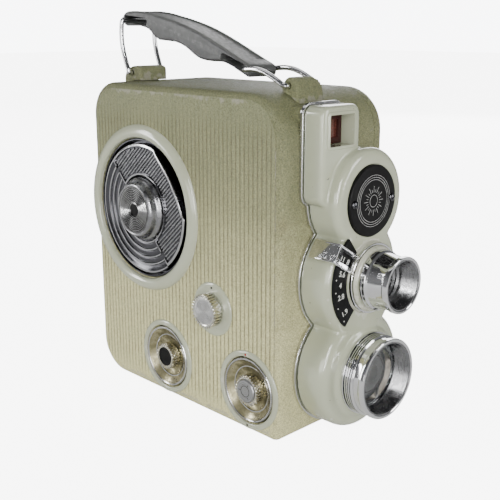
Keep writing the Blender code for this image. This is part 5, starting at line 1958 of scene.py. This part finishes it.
@dataclass
class CarryHandle:
    """Brackets, wire bails and the arched grip."""

    bail_length: float = 21.5
    bail_half: float = 8.4
    wire_radius: float = 0.95
    bulge: float = 2.0
    rear_lean: float = 8.8
    front_lean: float = 77.5
    bracket_half: float = 6.8
    grip_half: float = 6.8

    def bracket(self, name: str, pivot: Point, outline: Sequence[Point], taper: float) -> Item:
        """A bracket with soft edges, its top sloped away on the far side.

        Args:
            name: Name of the new object or group.
            pivot: Y and Z of the pivot.
            outline: Corner points.
            taper: How far the top slopes in.

        Returns:
            The finished object.
        """
        spot = Spot(X_HANDLE, 0, 0, Side.NEAR)
        item = outlined(name, [(z, y) for y, z in outline], -self.bracket_half, self.bracket_half,
            HOME)
        if taper:
            edit(item)
            pick(item, "VERT", lambda v: v.co.z < 0 and v.co.x > 125.5 * MM)
            bpy.ops.transform.translate(value=(0, 0, taper * MM))
            close(item)
        modify(item, "BEVEL", width=1.1 * MM, segments=4, limit_method="ANGLE",
            angle_limit=math.radians(50))
        settle(item, name, spot)
        shell = Shell()
        shell_block = shell.rounded_box("seat", -60, 60, -GAP)
        hole = cylinder("pivot_hole", self.wire_radius + GAP, -30, 30,
            Spot(X_HANDLE, *pivot, Side.NEAR), 32)
        return cut(item, shell_block, hole)

    def bail(self, name: str, pivot: Point, lean: float, bulge: float) -> Item:
        """A wire bail from pin to pin.

        Args:
            name: Name of the new object or group.
            pivot: Y and Z of the pivot.
            lean: Angle from upright in degrees.
            bulge: Bow of the legs.

        Returns:
            The finished object.
        """
        corner = 1.8
        half = [(self.bracket_half - 4.5, 0, 0), (self.bail_half - 1.4, 0, 0),
            (self.bail_half - 0.2, 0, 0.1), (self.bail_half, 0, 1.2)]
        for step in range(1, 11):
            height = 1.4 + (self.bail_length - corner - 1.6) * step / 10
            half.append((self.bail_half, bulge * math.sin(
                math.pi * (height / self.bail_length) ** 1.2), height))
        for x, z in arc((self.bail_half - corner, self.bail_length - corner), corner, 20, 90, 4):
            half.append((x, bulge * math.sin(math.pi * min(1.0, z / self.bail_length) ** 1.2), z))
        points = half + [(-x, y, z) for x, y, z in half[::-1]]
        matrix = Matrix.Translation(Vector((X_HANDLE, *pivot)) * MM) @ Matrix.Rotation(
            -math.radians(lean), 4, "X")
        return wire(name, points, self.wire_radius, matrix)

    def bail_end(self, pivot: Point, lean: float) -> Point:
        """Where a bail's cross bar is, as (Y, Z)."""
        angle = math.radians(lean)
        return (pivot[0] + self.bail_length * math.sin(angle),
            pivot[1] + self.bail_length * math.cos(angle))

    def slot(self, start: Point, end: Point) -> Item:
        """A cutter for the slot that a bail's cross bar slides in."""
        half = self.wire_radius + 0.5
        heading = math.degrees(math.atan2(end[0] - start[0], end[1] - start[1]))
        points = arc((start[1], start[0]), half, heading + 90, heading + 270, 16)
        points += arc((end[1], end[0]), half, heading - 90, heading + 90, 16)
        return outlined("slot", points, -20, 20, Spot(X_HANDLE, 0, 0, Side.NEAR))

    def grip(self) -> Item:
        """The grip: an arched bar with a raised rim round a sunk top field."""
        top = [(49.0, 147.6), (48.8, 148.5), (48.2, 149.3), (47.3, 149.9), (46.0, 150.3),
            (43.0, 150.45), (40.0, 150.4), (36.5, 150.1), (33.0, 149.7), (30.0, 149.2),
            (27.0, 148.6), (21.0, 147.45), (15.0, 146.1), (10.5, 144.95), (6.0, 143.6),
            (1.9, 142.2), (-2.3, 140.6), (-6.8, 138.8), (-11.4, 136.9), (-15.4, 135.2),
            (-19.4, 133.5), (-22.2, 132.4), (-24.2, 131.6), (-25.1, 131.1), (-25.6, 130.2)]
        under = [(-25.8, 129.2), (-25.6, 128.2), (-25.0, 127.3), (-24.2, 127.1), (-23.4, 127.2),
            (-20.9, 128.3), (-18.4, 129.3), (-16.0, 130.4), (-13.6, 131.2), (-11.5, 131.8),
            (-9.5, 132.0), (-5.3, 132.0), (-1.5, 132.2), (1.5, 132.7), (3.8, 133.5), (5.8, 134.5),
            (8.0, 135.8), (10.2, 136.9), (13.2, 138.0), (16.5, 138.7), (21.0, 139.0), (25.9, 139.3),
            (28.4, 140.3), (31.2, 142.5), (32.6, 143.3), (34.3, 143.9), (38.1, 144.6),
            (42.5, 144.7), (46.6, 144.6), (47.8, 145.0), (48.6, 146.0)]
        item = outlined("grip", [(z, y) for y, z in top + under], -self.grip_half, self.grip_half,
            HOME)
        edit(item)
        pick(item, "FACE", lambda face: face.normal.x > 0.6 and abs(face.normal.z) < 0.5
             and -21.0 * MM < face.calc_center_median().y < 45.0 * MM)
        bpy.ops.mesh.inset(thickness=1.5 * MM, depth=0.0)
        bpy.ops.mesh.inset(thickness=0.35 * MM, depth=-0.55 * MM)
        close(item)
        round_edges(item, lambda edge: len(edge.link_faces) == 2
            and edge.calc_face_angle() > math.radians(60)
            and all((abs(abs(v.co.z) - self.grip_half * MM) < 1e-06 for v in edge.verts)), 1.1, 5)
        settle(item, "grip", Spot(X_HANDLE, 0, 0, Side.NEAR))
        rear = self.bail_end(REAR_PIVOT, self.rear_lean)
        front_end = self.bail_end(FRONT_PIVOT, self.front_lean)
        return cut(item, self.slot(rear, (34.2, 146.2)), self.slot(front_end, (-11.4, 133.8)))

    def build(self, fitter: Fitter) -> None:
        """Model and fit the brackets, bails and grip."""
        rear = self.bracket("rear_bracket_block", REAR_PIVOT,
            [(37.6, 116.0), (37.6, 127.4), (38.1, 128.3), (38.9, 128.8), (41.0, 129.0),
            (43.6, 128.8), (45.6, 128.2), (47.2, 127.3), (48.2, 126.3), (49.0, 124.4),
            (49.0, 116.0)], 0.0)
        fitter.fit(rear, PAINT, "camera_body", ["rear_bracket"], 40)
        front_piece = self.bracket("front_bracket_block", FRONT_PIVOT,
            [(-48.4, 114.0), (-48.2, 122.6), (-47.8, 124.8), (-47.0, 126.7), (-46.0, 127.7),
            (-44.8, 128.05), (-43.4, 127.95), (-42.2, 127.3), (-41.3, 126.2), (-40.6, 124.6),
            (-40.6, 114.0)], 2.4)
        fitter.fit(front_piece, PAINT, "camera_body", ["front_bracket"], 40)
        fitter.fit(self.bail("rear_bail_wire", REAR_PIVOT, self.rear_lean, self.bulge), CHROME,
            "rear_bail", ["rear_bail"])
        fitter.fit(self.bail("front_bail_wire", FRONT_PIVOT, self.front_lean, -self.bulge), CHROME,
            "front_bail", ["front_bail"])
        fitter.fit(self.grip(), GRIP, "handle_grip", ["handle_grip"], 40)


# ---------------------------------------------------------------- works

@dataclass
class Works:
    """The pieces inside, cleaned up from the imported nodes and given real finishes."""

    steel: tuple[str, ...] = ("mechanism_plate", "supply_spindle", "take_up_spindle",
        "upper_roller", "lower_roller", "film_gate", "pressure_plate", "pressure_spring",
        "film_claw", "winding_arbor", "mainspring", "meter_needle")
    brass: tuple[str, ...] = ("spring_barrel", "great_wheel", "governor")
    black: tuple[str, ...] = ("supply_spool", "take_up_spool", "shutter_disc", "meter_movement")
    edges: dict[str, float] = field(default_factory=lambda: {"mechanism_plate": 0.2,
        "film_gate": 0.15, "upper_roller": 0.3, "lower_roller": 0.3, "governor": 0.1,
        "supply_spool": 0.15, "take_up_spool": 0.15, "meter_movement": 0.2, "spring_barrel": 0.2})

    @staticmethod
    def body_of(record: dict, node: str) -> str:
        """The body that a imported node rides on."""
        return next(body for body, nodes in record["behaviour"]["bodies"].items() if node in nodes)

    def build(self, fitter: Fitter, record: dict) -> None:
        """Fit a cleaned copy of each inner piece."""
        for names, finish, slot in ((self.steel, STEEL, "plain_steel"),
                (self.brass, WORKS_BRASS, "brass"), (self.black, BLACK, "black_lacquer")):
            for node in names:
                if node not in fitter.nodes:
                    LOG.warning("no node named %s", node)
                    continue
                piece = carried(fitter.nodes, node, self.edges.get(node, 0.0))
                fitter.fit(piece, finish, self.body_of(record, node), [node], 35)


# ---------------------------------------------------------------- studio

@dataclass
class Studio:
    """Pale floor, soft lights and the camera."""

    eye: tuple[float, float, float] = (-0.22715, -0.24358, 0.14498)
    back: tuple[float, float, float] = (-0.6750, -0.6921, 0.2560)
    lens: float = 61.2
    sensor: float = 36.0
    air: float = 0.25
    zenith: float = 0.07
    backdrop: float = 8.0
    glow: float = 7.0
    lights: tuple = (("key", (-0.95, -0.42, 0.16), (0, 0, 0.035), (0.8, 0.45), 6.0),
        ("side", (-0.5, -0.95, 0.26), (0, -0.04, 0.06), (0.12, 0.9), 4.5),
        ("front", (0.5, -0.95, 0.22), (0, -0.05, 0.04), (0.3, 0.7), 5.5),
        ("streak", (-0.62, -0.78, 0.3), (0, -0.05, 0.05), (0.05, 0.8), 7.0),
        ("left_back", (-0.68, 0.74, 0.24), (0, 0, 0.06), (0.16, 0.8), 6.0),
        ("top", (-0.15, 0.35, 0.95), (0, 0, 0.06), (0.5, 0.5), 0.9),
        ("back", (0.85, 0.55, 0.45), (0, 0, 0.06), (0.5, 0.7), 5.0))

    def floor(self, effects: Effects) -> None:
        """A wide pale floor with a faint paper tooth."""
        clear_selection()
        bpy.ops.mesh.primitive_grid_add(x_subdivisions=8, y_subdivisions=8, size=8.0,
            location=(0, 0, -0.0003))
        ground = bpy.context.object
        ground.name = "studio_floor"
        material = bpy.data.materials.new("studio_paper")
        material.use_nodes = True
        bench = Bench(material.node_tree)
        shader = material.node_tree.nodes["Principled BSDF"]
        where = bench.place()
        bench.feed(shader, "Base Color", bench.blend(bench.noise(where, 30.0), (0.86, 0.86, 0.86),
            (0.9, 0.9, 0.9)))
        shader.inputs["Roughness"].default_value = 0.9
        shader.inputs["Specular IOR Level"].default_value = 0.1
        Finish.bump(bench, shader, bench.noise(where, 900.0), 0.05, 0.05)
        seen = bench.node("LightPath").outputs["Is Camera Ray"]
        bench.feed(shader, "Emission Color", (1.0, 1.0, 1.0, 1.0))
        bench.feed(shader, "Emission Strength", bench.span(seen, 0.0, 1.0, 0.02, self.glow))
        ground.data.materials.append(material)

    @staticmethod
    def light(name: str, place: Sequence[float], aim: Sequence[float], size: Point, power: float,
            colour: Colour = (1.0, 1.0, 1.0)) -> None:
        """A soft rectangular light aimed at a point.

        Args:
            name: Name of the new object or group.
            place: Where it is.
            aim: What it points at.
            size: Lengths along the three axes.
            power: Watts.
            colour: Colour.
        """
        data = bpy.data.lights.new(name, "AREA")
        data.shape = "RECTANGLE"
        data.size, data.size_y = size
        data.energy = power
        data.color = colour
        lamp = bpy.data.objects.new(name, data)
        bpy.context.scene.collection.objects.link(lamp)
        lamp.location = place
        lamp.rotation_euler = (Vector(aim) - Vector(place)).to_track_quat("-Z", "Y").to_euler()

    def build(self, effects: Effects) -> None:
        """Set the floor, the world, the lights and the camera."""
        self.floor(effects)
        world = bpy.data.worlds.new("studio_air")
        world.use_nodes = True
        bench = Bench(world.node_tree)
        air = world.node_tree.nodes["Background"]
        seen = bench.node("LightPath").outputs["Is Camera Ray"]
        bench.feed(air, "Color", (0.97, 0.98, 1.0, 1.0))
        heading = bench.node("SeparateXYZ")
        bench.feed(heading, 0, bench.node("TexCoord").outputs["Generated"])
        sky = bench.span(heading.outputs["Z"], 0.15, 0.85, self.air, self.zenith)
        bench.feed(air, "Strength", bench.plus(sky, bench.times(seen, self.backdrop)))
        bpy.context.scene.world = world
        for name, place, aim, size, power in self.lights:
            self.light(name, place, aim, size, power)
        data = bpy.data.cameras.new("view")
        data.lens = self.lens
        data.sensor_width = self.sensor
        data.clip_start = 0.01
        eye = bpy.data.objects.new("view", data)
        bpy.context.scene.collection.objects.link(eye)
        eye.location = self.eye
        eye.rotation_euler = Vector(self.back).to_track_quat("Z", "Y").to_euler()
        bpy.context.scene.camera = eye


def corners(bounds: Sequence) -> list[list[float]]:
    """The two corners of a box as plain lists."""
    return [[float(value) for value in corner] for corner in bounds]


def main() -> None:
    """Build every sub-assembly in order."""
    logging.basicConfig(level=logging.INFO, format="%(name)s: %(message)s")
    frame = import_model()
    fitter = Fitter(frame["nodes"])
    for assembly in (Shell(), Tower(), ApertureControl(), Optics(), WindingKey(), SideControls(),
            CarryHandle()):
        assembly.build(fitter)
    Works().build(fitter, frame["record"])
    Studio().build(fitter.effects)
    LOG.info("%d pieces fitted", fitter.count)


if __name__ == "__main__":
    main()
